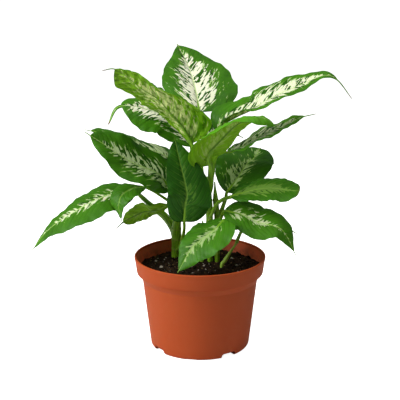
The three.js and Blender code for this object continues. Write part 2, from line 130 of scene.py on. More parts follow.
# Canes: centre line from the foot in the soil to the top, and radii at even steps
CANES = {
    "cane_left": {
        "points": [(-29, 34, 60), (-29, 34, 94), (-28, 32, 116), (-28, 30, 132), (-26, 27, 150),
                   (-22, 25, 167), (-20, 23, 182)],
        "radii": [4.6, 5, 5.6, 5.8, 5.2, 4, 2.6],
    },
    "cane_centre": {
        "points": [(12, 12, 60), (12, 12, 95), (11, 11, 122), (11, 11, 153), (9, 11, 177), (8, 10, 199)],
        "radii": [3.2, 3.2, 3.3, 3.5, 3.8, 4.2, 4.5, 4.4, 0.8],
    },
    "shoot_inner": {
        "points": [(2, 15, 60), (2, 15, 95), (2, 14, 116), (3, 12, 136), (3, 11, 146)],
        "radii": [2.6, 2.8, 2.7, 2.2, 0.8],
    },
    "cane_right": {
        "points": [(20, 14, 60), (20, 14, 95), (20, 14, 122), (20, 14, 147), (18, 14, 172), (17, 14, 192)],
        "radii": [3, 3.1, 3.5, 3.6, 3.4, 0.8],
    },
    "shoot_right": {
        "points": [(24, -8, 60), (25, -8, 95), (29, -7, 103), (34, -5, 111), (40, -2, 119), (44, 1, 126)],
        "radii": [2.2, 2.3, 2.1, 2.4, 1.5, 1.2],
    },
}

# Leaves, with the same form values as the solids: mid is the midrib from the blade's base to its tip,
# up the way the upper face looks from base to tip, left and right the halves as (half width, folds,
# curls), with a taper of its own where a half has one, drip_width a drip tip's half width, petiole the
# stalk from the cane and stalk its radii. The look values are: zone, the pale middle's share of the
# half width; milk, how creamy it is; fleck, how much green shows in it; tone, how light the green is;
# pale, how strong the light green round the cream is; start and end, where along the blade the pale
# middle is full and where it ends; jag, how jagged it is; dry, how brown the tip is; crumple, how
# strongly the blade is puckered.
# On leaves that lie in shade, tone and pale are partly painted light. They are set higher to lift the shade
# on both faces, and milk is set lower so that the cream takes the green of light that has passed through the
# leaves above.
LEAVES = {
    "leaf_crown_back": {
        "mid": [(-1, 24, 271), (-3, 40, 283), (-8, 68, 301), (-16, 98, 320), (-28, 119, 340)],
        "up": [(0.15, -0.45, 0.9), (0.05, -0.25, 0.95)],
        "left": (40, [18], [22]), "right": (51, [16], [24], 0.8),
        "blunt": 0.45, "taper": 0.85, "drip": 0.02, "wave": (1.6, 3, 0.5),
        "petiole": [(9, 11, 174), (3, 15, 192), (-1, 18, 220), (-2, 21, 248)],
        "drip_width": 5,
        "zone": 0.56, "milk": 1, "fleck": 0.75, "tone": 0.45, "pale": 0.9, "end": 1.02, "jag": 0.8,
    },
    "leaf_upper_left": {
        "mid": [(-9, -4, 240), (-19, -10, 260), (-31, -15, 276), (-45, -20, 293), (-62, -24, 305),
                (-89, -29, 326), (-105, -33, 326)],
        "up": [(0.05, 0.8, 0.6), (0.23, 0.66, 0.71), (0.44, 0.57, 0.7)],
        "left": (40, [18, -4, 20], [25], 0.88), "right": (45, [56, 23, -12], [10], 0.58),
        "blunt": 0.48, "taper": 0.49, "drip": 0.1, "wave": (2, 3, 0),
        "petiole": [(9, 10, 172), (4, 5, 188), (0, 1, 205), (-5, -3, 224)],
        "zone": 0.7, "milk": 1, "fleck": 0.6, "tone": 0.75, "pale": 0.9, "dry": 1, "crumple": 3,
    },
    "leaf_upper_left_rear": {
        "mid": [(-10, 26, 231), (-24, 32, 247), (-40, 35, 265), (-69, 34, 275), (-94, 26, 277),
                (-105, 18, 258)],
        "up": [(0.55, -0.3, 0.8), (0.38, -0.5, 0.8), (-0.4, -0.7, 0.55)],
        "left": (32, [4], [32], 0.45), "right": (25, [4], [32]),
        "blunt": 0.6, "taper": 0.55, "drip": 0.22, "wave": (1.2, 3, 1),
        "petiole": [(-17, 26, 172), (-14, 27, 196), (-11, 27, 216)],
        "drip_width": 5,
        "zone": 0.5, "milk": 1, "fleck": 1.2, "tone": 0.5, "pale": 0.9, "dry": 1, "crumple": 1.3, "jag": 0.8,
    },
    "leaf_mid_left": {
        "mid": [(-34, 6, 184), (-48, 2, 204), (-77, -6, 219), (-103, -12, 238), (-128, -16, 256)],
        "up": [(0, -0.53, 0.82), (0, -0.6, 0.8)],
        "left": (30, [14], [22], 0.8), "right": (30, [16], [24], 0.6),
        "blunt": 0.52, "taper": 0.66, "drip": 0.06, "wave": (1.4, 3, 0.4),
        "petiole": [(-24, 22, 166), (-28, 15, 172), (-31, 10, 178)],
        "zone": 0.58, "milk": 0.5, "fleck": 1.1, "tone": 0.42, "pale": 0.9, "end": 0.88,
    },
    "leaf_mid_left_rear": {
        "mid": [(-24, 36, 205), (-47, 41, 220), (-77, 43, 228), (-105, 42, 241), (-134, 36, 249)],
        "up": [(0.2, -0.36, 0.91), (0.15, -0.36, 0.92)],
        "left": (24, [12], [25]), "right": (31, [0], [32], 0.6),
        "blunt": 0.55, "taper": 0.87, "drip": 0.06, "wave": (1.2, 3, 2),
        "petiole": [(-21, 29, 174), (-22, 33, 186), (-23, 35, 196)],
        "zone": 0.6, "milk": 0.5, "fleck": 1.2, "tone": 0.35, "pale": 0.8,
    },
    "leaf_low_left_long": {
        "mid": [(-75, 14, 181), (-105, 6, 178), (-132, -4, 168), (-171, -14, 144), (-193, -21, 118)],
        "up": [(-0.5, -0.5, 0.7), (-0.65, -0.42, 0.6)],
        "left": (31, [9], [25]), "right": (27, [7], [28], 1.3),
        "blunt": 0.56, "taper": 1, "drip": 0.03, "wave": (0.9, 4, 0.4),
        "petiole": [(-28, 33, 116), (-32, 36, 130), (-42, 42, 143), (-57, 43, 155), (-69, 28, 171)],
        "stalk": [5.2, 5, 3.2, 2.1, 1.3],
        "zone": 0.2, "milk": 0.85, "fleck": 0.2, "tone": 0.38, "pale": 0.9, "end": 0.9,
    },
    "leaf_low_left_small": {
        "mid": [(-62, 0, 189), (-76, -10, 190), (-88, -21, 184), (-91, -27, 172), (-88, -27, 155)],
        "up": [(-0.1, -0.35, 0.94), (-0.25, -0.8, 0.53), (-0.75, -0.65, 0.1)],
        "left": (15, [18], [14]), "right": (16, [0], [28]),
        "blunt": 0.58, "taper": 0.87, "drip": 0.05, "wave": (0.8, 3, 0),
        "petiole": [(-26, 22, 158), (-36, 16, 168), (-50, 8, 180)],
        "zone": 0.06, "milk": 0.1, "fleck": 0.4, "tone": 0.36, "pale": 0.15,
    },
    "leaf_low_left_rear": {
        "mid": [(-38, 21, 163), (-54, 25, 155), (-68, 28, 152), (-88, 30, 141), (-100, 29, 131)],
        "up": [(-0.4, 0.5, 0.75), (-0.2, 0.88, 0.42)],
        "left": (18, [12], [11], 0.8), "right": (17, [6], [14]),
        "blunt": 0.5, "taper": 0.5, "drip": 0.16, "wave": (1, 3, 0),
        "petiole": [(-26, 26, 154), (-31, 24, 159)],
        "zone": 0.1, "milk": 0.3, "fleck": 0.35, "tone": 1, "pale": 0.4, "dry": 1, "crumple": 1.5,
    },
    "leaf_front_upright": {
        "mid": [(-18, -16, 152), (-17, -18, 172), (-15, -18, 188), (-23, -12, 223), (-29, -4, 248)],
        "up": [(0.07, -0.98, 0.17), (0.05, -0.95, 0.32)],
        "left": (22, [18], [16], 0.65), "right": (28, [12], [20]),
        "blunt": 0.34, "taper": 0.85, "drip": 0.04, "wave": (1.2, 3, 1),
        "petiole": [(-28, 32, 103), (-24, 20, 110), (-20, 5, 127), (-18, -9, 143)],
        "zone": 0.17, "milk": 0, "fleck": 0.9, "tone": 0.03, "pale": 0.17, "jag": 1.1,
    },
    "leaf_front_drooping": {
        "mid": [(27, -16, 155), (16, -28, 146), (-8, -42, 130), (-25, -54, 104)],
        "up": [(-0.45, -0.5, 0.72), (-0.4, -0.85, 0.35)],
        "left": (30, [11], [18], 0.85), "right": (23, [10], [18]),
        "blunt": 0.42, "taper": 1, "drip": 0.03, "wave": (1, 3, 0),
        "petiole": [(15, 6, 122), (20, 0, 136), (26, -9, 149)],
        "zone": 0.3, "milk": 0.25, "fleck": 0.4, "tone": 0.4, "pale": 0.5, "start": 0.45, "end": 0.88,
    },
    "leaf_low_right": {
        "mid": [(28, -4, 162), (51, -10, 158), (67, -16, 151), (92, -22, 145), (109, -27, 116)],
        "up": [(0.16, -0.49, 0.86), (0.64, -0.57, 0.52)],
        "left": (28, [10], [25]), "right": (26, [9], [24], 1.05),
        "blunt": 0.51, "taper": 0.97, "drip": 0.04, "wave": (0.7, 3, 0),
        "petiole": [(21, 9, 138), (23, 5, 148), (26, 0, 157)],
        "zone": 0.24, "milk": 0.6, "fleck": 0.3, "tone": 0.5, "pale": 0.85,
        "start": 0.15, "end": 0.76, "jag": 1.2,
    },
    "leaf_low_right_rear": {
        "mid": [(49, 4, 137), (65, 4, 144), (88, 2, 146), (112, -2, 134)],
        "up": [(0, -0.49, 0.87), (0.21, -0.52, 0.83)],
        "left": (15, [10], [20]), "right": (15, [10], [20]),
        "blunt": 0.55, "taper": 0.85, "drip": 0.1, "wave": (0.8, 3, 0),
        "petiole": [(42, 0, 122), (46, 3, 131)],
        "zone": 0.2, "milk": 0.8, "fleck": 0.4, "tone": 0.4, "pale": 0.8,
    },
    "leaf_mid_right_round": {
        "mid": [(31, 18, 178), (44, 35, 191), (56, 55, 204), (65, 73, 207), (75, 87, 218)],
        "up": [(0.1, -0.44, 0.89), (-0.2, -0.45, 0.87)],
        "left": (37, [29], [45], 0.45), "right": (31, [16], [30], 0.4),
        "blunt": 0.57, "taper": 0.45, "drip": 0.03, "wave": (1.4, 3, 0),
        "petiole": [(23, 16, 150), (27, 17, 162), (30, 17, 171)],
        "zone": 0.34, "milk": 0.3, "fleck": 0.5, "tone": 0.25, "pale": 0.9, "end": 0.8, "jag": 1.25,
    },
    "leaf_mid_right_flat": {
        "mid": [(36, 4, 177), (58, 1, 184), (79, -2, 188), (98, -6, 187), (113, -10, 187)],
        "up": [(0.1, -0.36, 0.93), (0, -0.5, 0.86)],
        "left": (23, [8], [30]), "right": (22, [12], [24]),
        "blunt": 0.46, "taper": 0.36, "drip": 0, "wave": (1, 3, 0),
        "petiole": [(9, 7, 136), (11, 4, 148), (15, 2, 160), (19, 2, 168), (27, 3, 174)],
        "stalk": [2.3, 2.2, 2.4, 2.2],
        "zone": 0.42, "milk": 0.03, "fleck": 0.1, "tone": 0.4, "pale": 0.45, "end": 1, "jag": 0.7,
    },
    "leaf_upper_right_long": {
        "mid": [(18, 12, 251), (31, 8, 265), (49, 4, 274), (62, 0, 281), (83, -5, 294), (111, -9, 307),
                (136, -12, 318), (151, -14, 313), (167, -16, 293)],
        "up": [(0.4, -0.45, 0.8), (0.39, -0.36, 0.85), (0.2, -0.4, 0.89)],
        "left": (32, [11, 7, 0], [18]), "right": (22, [63, 20, 4], [14]),
        "blunt": 0.45, "taper": 0.82, "drip": 0.14, "wave": (1.4, 4, 0),
        "petiole": [(9, 11, 183), (14, 11, 199), (16, 13, 218), (16, 13, 236)],
        "drip_width": 2.8,
        "zone": 0.75, "milk": 0.8, "fleck": 0.9, "tone": 0.45, "pale": 0.9, "start": 0.4,
        "dry": 0.8, "jag": 0.7,
    },
    # Partly painted light: this leaf's tone is set high to lift its lower face, which lies in shade
    "leaf_centre_bent": {
        "mid": [(12, -8, 216), (10, -14, 231), (25, -24, 251), (39, -34, 267), (56, -44, 277),
                (71, -50, 276), (86, -50, 264)],
        "up": [(0, 0.86, 0.5), (0.14, 0.3, 0.94), (0.7, -0.3, 0.6)],
        "left": (17, [7], [9]), "right": (35, [7], [58]),
        "blunt": 0.52, "taper": 0.86, "drip": 0.05, "wave": (1.2, 3, 0),
        "petiole": [(10, 10, 176), (12, 3, 188), (12, -2, 199), (12, -6, 208)],
        "stalk": [2.4, 3.1, 3, 1.8],
        "zone": 0.35, "milk": 0.2, "fleck": 0.15, "tone": 1, "pale": 0.6, "crumple": 1.6,
    },
    # Painted light: this leaf lies in the shadow of the leaves above it, so its tone and pale are set high
    # and its milk low, which lifts it and greens its cream
    "leaf_upper_right_narrow": {
        "mid": [(32, 25, 225), (48, 28, 230), (72, 31, 243), (99, 32, 255), (115, 30, 264), (134, 28, 269)],
        "up": [(-0.32, -0.1, 0.95), (-0.32, -0.3, 0.9)],
        "left": (22, [10], [22]), "right": (23, [16], [14]),
        "blunt": 0.5, "taper": 0.75, "drip": 0.12, "wave": (1.4, 3, 0),
        "petiole": [(9, 11, 172), (13, 17, 187), (15, 20, 204), (18, 22, 218), (25, 23, 225)],
        "drip_width": 2,
        "zone": 0.75, "milk": 0.6, "fleck": 1.2, "tone": 1, "pale": 1, "dry": 0.8,
    },
    "leaf_inner_small": {
        "mid": [(4, 26, 235), (15, 34, 242), (29, 38, 249), (51, 36, 239)],
        "up": [(0.02, -0.53, 0.84), (0.06, -0.56, 0.82)],
        "left": (16, [11], [18]), "right": (12, [10], [20]),
        "blunt": 0.58, "taper": 0.82, "drip": 0.1, "wave": (0.6, 3, 0),
        "petiole": [(9, 11, 166), (5, 18, 182), (3, 23, 200), (2, 26, 219)],
        "zone": 0.5, "milk": 0.9, "fleck": 0.5, "tone": 0.3, "pale": 0.8,
    },
}

# What a leaf has where the table gives no value of its own
LEAF_DEFAULTS = {"drip_width": 1.5, "stalk": [2.4, 2.1, 1.7, 1.2], "start": 0.12, "end": 0.93, "jag": 1,
                 "dry": 0.25, "crumple": 1}

# Fine form of the blades, in millimetres for a leaf of full length
BLADE_ROWS = 150
HALF_COLUMNS = 27
COLUMN_CROWDING = 1.25
SOLID_ROWS = 12
CURVE_SAMPLES = 60
END_HALF_WIDTH = 0.25
RIGHT_WAVE_SHIFT = 2.0
MARGIN_BITES = (0.012, 0.01)
FRILL_HEIGHT = 0.45
FULL_LENGTH = 110
VEIN_SLOPE = 0.85
VEIN_CURVE = 0.011
RIB_STRIP = (0.4, 3)
CALM_MARGIN = 0.72
QUILT_BULGE = 0.7
PUCKER_SHARES = (0.75, 0.35)
PUCKER_RATES = (0.9, 0.21)
SWELL_HEIGHT = 0.35
SWELL_RATES = (0.23, 0.9, 9)
CRUMPLE_HEIGHT = 0.8
CREASE_RATES = (0.5, 2.3, 1.7, 0.2)
RIB_FADE = 0.6
GROOVE_DEPTH = 0.55
GROOVE_WIDTHS = (0.9, 0.8)
KEEL_DEPTH = 1.7
KEEL_WIDTHS = (0.5, 1.1)
RIDGE_HEIGHT = 0.16
RIDGE_WIDTH = 0.07

# Petioles and canes. A ring swells by a share over a width, with a waist of the same kind above it.
RIB_DROP = 0.6
FULL_STALK_LENGTH = 90
STALK_THINNING = 0.75
STALK_THIN_FROM = 0.82
SHEATH_SIDES = 20
SHEATH_GROOVE = 0.3
SHEATH_GROOVE_WIDTH = 0.5
SHEATH_WINGS = 0.12
PETIOLE_STEPS = 56
CANE_SIDES = 28
CANE_STEPS = 120
CANE_FLUTING = 0.035
CANE_TOP = 0.93
RING_SWELL = (0.09, 1.3)
RING_WAIST = (0.05, 0.7, 1.6)
# How far a shoot's skin goes towards a lighter green: partly its young growth, partly painted light that
# lifts the shade it stands in
SHOOT_LIGHTENING = 0.6

# Noises of the marbling: scale from the rib outwards, scale along the rib, shift, detail, roughness
# and distortion
MARBLING = {
    "streaks": (0.7, 0.9, 0.0, 2.0, 0.6, 0.0),
    "flecks": (1.3, 1.6, 1.7, 3.0, 0.6, 0.5),
    "spots": (1.2, 1.9, 4.4, 1.0, 0.5, 0.6),
    "large": (0.5, 0.35, 0.0, 2.0, 0.5, 0.0),
    "patch": (1.6, 1.1, 9.0, 3.0, 0.6, 0.8),
}

# Where the marbling lies. The pale middle has a share of its width at the blade's base, which falls the
# later the middle is full and has a cap. It fades before its end, two noises push its edge in and out,
# and each edge below is a pair of where it starts and where it is full.
BASE_WIDTH = (0.85, 1.5, 0.4)
END_FADE = 0.45
STREAK_PUSH = 2.4
FLECK_PUSH = 4.0
EDGE_WIDTH = 0.42
HALO_EDGE = (-0.1, 0.2)
CREAM_EDGE = (0.05, 0.35)
SPECK_LIMIT = 0.64
SPECK_GAIN = 0.1
SPECK_EDGE = 0.016
SPECK_MARGIN = (0.15, 1.0, 0.0, 0.05)
VEIN_EDGE = (0.02, 0.1)
FINE_VEINS = 4.0
FINE_VEIN_EDGE = (0.0, 0.4)
RIB_WIDTHS = (0.16, 0.03)
RIB_EDGE = (0.5, 1.1)
DRY_ZONE = (0.95, 0.985)
LEAF_TURN = 3.17
HALF_TURN = 7.3

# Noises of the stems: scale along the stem, scale round it and detail
STEM_NOISES = ((0.6, 5.0, 3.0), (1.4, 1.0, 2.0), (8.0, 6.0, 1.0))

# Stage
FLOOR_SIDES = 64
SENSOR_WIDTH = 36
WORLD_STRENGTH = 0.14
LIGHTS = {
    "key_left": {"place": (-1.27, -0.56, 1.05), "size": 0.9, "power": 27},
    "fill_front": {"place": (0.3, -1.5, 0.8), "size": 1.0, "power": 0.2},
    "top": {"place": (0.15, -0.35, 1.5), "size": 0.9, "power": 6.5},
    "rear_top": {"place": (0.5, 1.0, 1.3), "size": 0.9, "power": 6, "glossy": False},
}


def tint(red, green, blue):
    """A colour as it is seen on a screen, 0 to 255 each, as the linear values that Blender mixes."""
    def linear(channel):
        share = channel / 255
        return share / 12.92 if share <= 0.04045 else ((share + 0.055) / 1.055) ** 2.4
    return (linear(red), linear(green), linear(blue), 1.0)


# Colours that the materials mix in beside the settings
DRY_TIP = tint(110, 82, 40)
UNDER_DULL = tint(86, 118, 24)
UNDER_PATCH = tint(70, 110, 12)
UNDER_VEIN = tint(74, 112, 14)
UNDER_CREAM = tint(216, 224, 150)
UNDER_RIB = tint(78, 124, 14)
STEM_PATCH = tint(150, 192, 70)
STEM_SPECK = tint(178, 206, 110)
RING_SCAR = tint(150, 130, 78)
# Lighter green of the shoots: partly young growth, partly painted light on shoots that stand in shade
YOUNG_AND_LIT_STEM = tint(186, 224, 92)
POT_CLOUD = tint(170, 68, 32)
POT_SCUFF = tint(218, 128, 84)
POT_DUST = tint(206, 160, 130)
SOIL_STAIN = tint(84, 36, 20)
INSIDE_DUST = tint(170, 120, 92)
PEAT_SHADE = tint(18, 11, 5)
PEAT_FIBRE = tint(108, 78, 50)
PERLITE_PIT = tint(150, 138, 120)
PERLITE_STAIN = tint(70, 52, 38)
BARK_SHADE = tint(74, 54, 28)
FLOOR_GRAIN = tint(225, 225, 222)
FLOOR_BOUNCE = tint(220, 220, 218)


# Settings that a user would change


def colour_setting(name, description, red, green, blue):
    """A colour setting with its default as it is seen on a screen."""
    return FloatVectorProperty(name=name, description=description, subtype="COLOR", size=4, min=0, max=1,
                               default=tint(red, green, blue))


def length_setting(name, description, default, least=0):
    """A length setting, with its default and its least value in millimetres."""
    return FloatProperty(name=name, description=description, unit="LENGTH",
                         default=default * MM, min=least * MM)


class PotSettings(bpy.types.PropertyGroup):
    """The plastic pot"""
    colour: colour_setting("Colour", "Colour of the plastic", 185, 82, 39)
    # The inside colour is lighter than the outside plastic: painted light that lifts the shade inside the
    # pot, with the soil stain mixed over it
    inside: colour_setting("Inside", "Colour of the soil-stained inner wall", 208, 94, 50)
    segments: IntProperty(name="Segments", description="Steps round the pot", default=192, min=48)
    rim_bead: length_setting("Rim bead", "How far the rolled rim stands out", 0.5)


class SoilSettings(bpy.types.PropertyGroup):
    """The potting mix"""
    colour: colour_setting("Colour", "Colour of the damp peat", 48, 31, 12)
    perlite: colour_setting("Perlite", "Colour of the perlite grains", 205, 200, 188)
    chip: colour_setting("Bark", "Tan of the dry chips of bark", 150, 122, 62)
    crumbs: IntProperty(name="Crumbs", description="Number of loose crumbs", default=900, min=0)
    grains: IntProperty(name="Grains", description="Number of perlite grains", default=90, min=0)
    chips: IntProperty(name="Bark chips", description="Number of chips of bark", default=110, min=0)


class StemSettings(bpy.types.PropertyGroup):
    """Canes and petioles"""
    colour: colour_setting("Colour", "Green of the canes", 142, 192, 40)
    shaded: colour_setting("Shaded", "Darker green in the streaks", 94, 146, 18)
    node_spacing: length_setting("Node spacing", "Distance between the rings of a cane", 13, 2)


class LeafSettings(bpy.types.PropertyGroup):
    """The blades"""
    deep: colour_setting("Deep green", "Green of the oldest leaves", 30, 80, 4)
    fresh: colour_setting("Fresh green", "Green of the youngest leaves", 84, 152, 22)
    halo: colour_setting("Halo", "Light green round the cream", 156, 202, 78)
    cream: colour_setting("Cream", "Cream of the marbled middle", 240, 243, 212)
    # The lower face's bright yellow green is partly its own colour and partly painted light that stands for
    # light passing through the thin blade
    under: colour_setting("Underside", "Yellow green of the lower face", 130, 186, 22)
    vein_spacing: length_setting("Vein spacing", "Distance between the side veins along the rib", 7.5, 2)
    vein_depth: length_setting("Vein depth", "How far the blade is quilted between the veins", 0.45)
    blade_thickness: length_setting("Thickness", "Thickness of the blade at its middle", 0.6, 0.1)
    margin_thickness: length_setting("Margin", "Thickness of the blade at its margin", 0.3, 0.1)


class StageSettings(bpy.types.PropertyGroup):
    """Floor, light and camera"""
    distance: length_setting("Distance", "Camera to the plant's middle", 1100, 300)
    elevation: FloatProperty(name="Elevation", description="Camera above the horizontal",
                             subtype="ANGLE", default=math.radians(14.5))
    target_height: length_setting("Target height", "Height that the camera looks at", 173.7)
    lens: FloatProperty(name="Lens", description="Focal length in millimetres", default=86.31, min=10)
    floor_radius: length_setting("Floor radius", "Radius of the floor", 14000, 1000)
    floor_colour: colour_setting("Floor", "Pale floor", 250, 250, 249)


class PlantSettings(bpy.types.PropertyGroup):
    """All the settings of the potted plant"""
    pot: PointerProperty(type=PotSettings, name="Pot", description="The plastic pot")
    soil: PointerProperty(type=SoilSettings, name="Soil", description="The potting mix")
    stems: PointerProperty(type=StemSettings, name="Stems", description="Canes and petioles")
    leaves: PointerProperty(type=LeafSettings, name="Leaves", description="The blades")
    stage: PointerProperty(type=StageSettings, name="Stage", description="Floor, light and camera")


# Meshes


def unit(vectors):
    """The vectors at length one."""
    return vectors / np.maximum(np.linalg.norm(vectors, axis=-1, keepdims=True), 1e-9)


def smooth(low, high, value):
    """Runs smoothly from 0 to 1 as the value goes from low to high."""
    share = np.clip((value - low) / (high - low), 0, 1)
    return share * share * (3 - 2 * share)


def add_mesh(name, points, faces, materials, slots=None, smooth_angle=50):
    """A mesh object from points in millimetres, with its materials and a slot number for each face."""
    mesh = bpy.data.meshes.new(name)
    mesh.from_pydata(np.asarray(points, float) * MM, [], faces)
    for material in materials:
        mesh.materials.append(material)
    if slots is not None:
        mesh.polygons.foreach_set("material_index", np.asarray(slots, np.int32))
    mesh.polygons.foreach_set("use_smooth", np.ones(len(mesh.polygons), bool))
    mesh.set_sharp_from_angle(angle=math.radians(smooth_angle))
    mesh.validate()
    mesh.update()
    piece = bpy.data.objects.new(name, mesh)
    bpy.context.scene.collection.objects.link(piece)
    return piece


def add_vector(piece, name, values):
    """A vector for each point of a piece, which the materials read by name."""
    layer = piece.data.attributes.new(name, "FLOAT_VECTOR", "POINT")
    layer.data.foreach_set("vector", np.asarray(values, np.float32).ravel())


def settle(piece, slot, *nodes):
    """Puts a piece on the plant's body and in place of its nodes."""
    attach(piece, BODY)
    if nodes:
        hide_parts(*nodes)


def ring(radius, steps, height=0.0):
    """Points at even steps round the Z axis."""
    turns = [2 * math.pi * step / steps for step in range(steps)]
    return [(radius * math.cos(turn), radius * math.sin(turn), height) for turn in turns]


def grid_faces(rows, columns, first=0, closed=False, flip=False):
    """Quads of a grid of points, row by row; closed joins the last column to the first."""
    faces = []
    for row in range(rows - 1):
        for column in range(columns if closed else columns - 1):
            a = first + row * columns + column
            b = first + row * columns + (column + 1) % columns
            face = (a, b, b + columns, a + columns)
            faces.append(face[::-1] if flip else face)
    return faces


def fan(tip, first, sides, flip=False):
    """Triangles from a tip to a closed ring of points."""
    faces = [(tip, first + side, first + (side + 1) % sides) for side in range(sides)]
    return [face[::-1] for face in faces] if flip else faces


def bar_faces(rings, sides, flip=False):
    """Faces of a closed bar, whose points are its rings in turn and then the tips of its two ends."""
    tips = rings * sides
    ends = fan(tips, 0, sides, not flip) + fan(tips + 1, tips - sides, sides, flip)
    return grid_faces(rings, sides, closed=True, flip=flip) + ends


def lathe(profile, segments):
    """Points and faces of a profile of (radius, height) from the Z axis back to it, turned round it."""
    points = [point for radius, height in profile[1:-1] for point in ring(radius, segments, height)]
    points += [(0, 0, profile[0][1]), (0, 0, profile[-1][1])]
    return points, bar_faces(len(profile) - 2, segments)


def bend(start, corner, end, steps):
    """Points on a short curve from start to end that leans towards the corner."""
    share = np.linspace(0, 1, steps + 1)[:, None]
    start, corner, end = (np.asarray(point, float) for point in (start, corner, end))
    curve = (1 - share) ** 2 * start + 2 * share * (1 - share) * corner + share ** 2 * end
    return [tuple(point) for point in curve]


def rounded(profile):
    """The profile with each inner corner rounded by a short curve."""
    path = [profile[0]]
    for before, corner, after in zip(profile, profile[1:], profile[2:]):
        here = np.array(corner, float)
        back = np.array(before, float) - here
        ahead = np.array(after, float) - here
        reach = min(CORNER_ROUND, CORNER_SHARE * np.linalg.norm(back), CORNER_SHARE * np.linalg.norm(ahead))
        path += bend(here + unit(back) * reach, here, here + unit(ahead) * reach, CORNER_STEPS)
    path.append(profile[-1])
    return path


def along(stops, t):
    """Values that run smoothly through evenly spaced stops as t goes from 0 to 1."""
    values = np.atleast_1d(np.asarray(stops, float))
    if len(values) == 1:
        return np.full_like(t, values[0])
    place = np.minimum(t, 1) * (len(values) - 1)
    first = np.minimum(place.astype(int), len(values) - 2)
    blend = smooth(0, 1, place - first)
    return values[first] * (1 - blend) + values[first + 1] * blend


def curve_points(stops, steps):
    """Evenly spaced points on a smooth curve through the stops, and its length."""
    stops = np.asarray(stops, float)
    padded = np.vstack([2 * stops[0] - stops[1], stops, 2 * stops[-1] - stops[-2]])
    pieces = len(stops) - 1
    place = np.linspace(0, pieces, CURVE_SAMPLES * pieces + 1)
    index = np.minimum(place.astype(int), pieces - 1)
    share = (place - index)[:, None]
    before, start, end, after = (padded[index + shift] for shift in range(4))
    leave = 0.5 * (end - before)
    arrive = 0.5 * (after - start)
    square = -3 * start + 3 * end - 2 * leave - arrive
    cube = 2 * start - 2 * end + leave + arrive
    fine = start + leave * share + square * share ** 2 + cube * share ** 3
    travelled = np.r_[0, np.cumsum(np.linalg.norm(np.diff(fine, axis=0), axis=1))]
    wanted = np.linspace(0, travelled[-1], steps + 1)
    points = np.stack([np.interp(wanted, travelled, fine[:, axis]) for axis in range(3)], 1)
    return points, travelled[-1]


def midrib(leaf, steps):
    """Points on the midrib with the directions up from the blade and to its right, and its length."""
    centre, length = curve_points(leaf["mid"], steps)
    t = np.linspace(0, 1, steps + 1)
    ahead = unit(np.gradient(centre, axis=0))
    stops = np.asarray(leaf["up"], float)
    up = np.stack([along(stops[:, axis], t) for axis in range(3)], 1)
    up = unit(up - (up * ahead).sum(1, keepdims=True) * ahead)
    return t, centre, up, np.cross(ahead, up), length


def outline(leaf, t, taper):
    """The half width at t as a share of the widest one."""
    blunt = leaf["blunt"]
    peak = blunt / (blunt + taper)
    body = np.minimum(t / (1 - leaf["drip"]), 1)
    return body ** blunt * (1 - body) ** taper / (peak ** blunt * (1 - peak) ** taper)


def blade_sheet(leaf, seed):
    """The blade's middle surface as a grid of points, with its place in each direction."""
    t, centre, up, right, length = midrib(leaf, BLADE_ROWS)
    least = END_HALF_WIDTH + np.where(t > 0.5, leaf["drip_width"] * np.sqrt(1 - t), 0)
    height, waves, phase = leaf["wave"]
    half = np.linspace(0, 1, HALF_COLUMNS + 1) ** COLUMN_CROWDING
    spread = np.r_[-half[:0:-1], half]
    grid = np.zeros((len(t), len(spread), 3))
    reach = np.zeros((len(t), len(spread)))
    for side, key in ((-1, "left"), (1, "right")):
        widest, folds, curls, *own = leaf[key]
        share = outline(leaf, t, own[0] if own else leaf["taper"])
        columns = np.flatnonzero(spread * side >= 0)
        u = np.abs(spread[columns])[None, :]
        bites = 1 + MARGIN_BITES[0] * np.sin(23 * t + seed + side)
        bites += MARGIN_BITES[1] * np.sin(41 * t + 2 * seed - side)
        width = (np.maximum(widest * share, least) * bites)[:, None]
        fold = np.radians(along(folds, t))[:, None]
        curl = np.radians(np.maximum(along(curls, t), 1))[:, None]
        across = width / curl * (np.sin(fold) - np.sin(fold - curl * u))
        rise = width / curl * (np.cos(fold - curl * u) - np.cos(fold))
        ripple = height * np.sin(2 * np.pi * waves * t + phase + (RIGHT_WAVE_SHIFT if side > 0 else 0))
        frill = FRILL_HEIGHT * np.sin(2 * np.pi * (3.1 * waves * t) + seed * 1.7 + side)
        calm = np.minimum(1, 2 * share)
        rise = rise + u ** 2 * (ripple * calm)[:, None] + u ** 4 * (frill * calm)[:, None]
        sideways = side * right[:, None, :] * across[:, :, None]
        grid[:, columns] = centre[:, None, :] + sideways + up[:, None, :] * rise[:, :, None]
        reach[:, columns] = side * u * width
    return t, spread, share, grid, reach, length


def vein_phase(t, reach, length, spacing):
    """Which side vein a point lies on: a whole number on a vein and a half between two."""
    out = np.abs(reach)
    lean = VEIN_SLOPE * out + VEIN_CURVE * out ** 2
    return (t[:, None] * length - lean) / spacing + np.where(reach > 0, 0.5, 0)


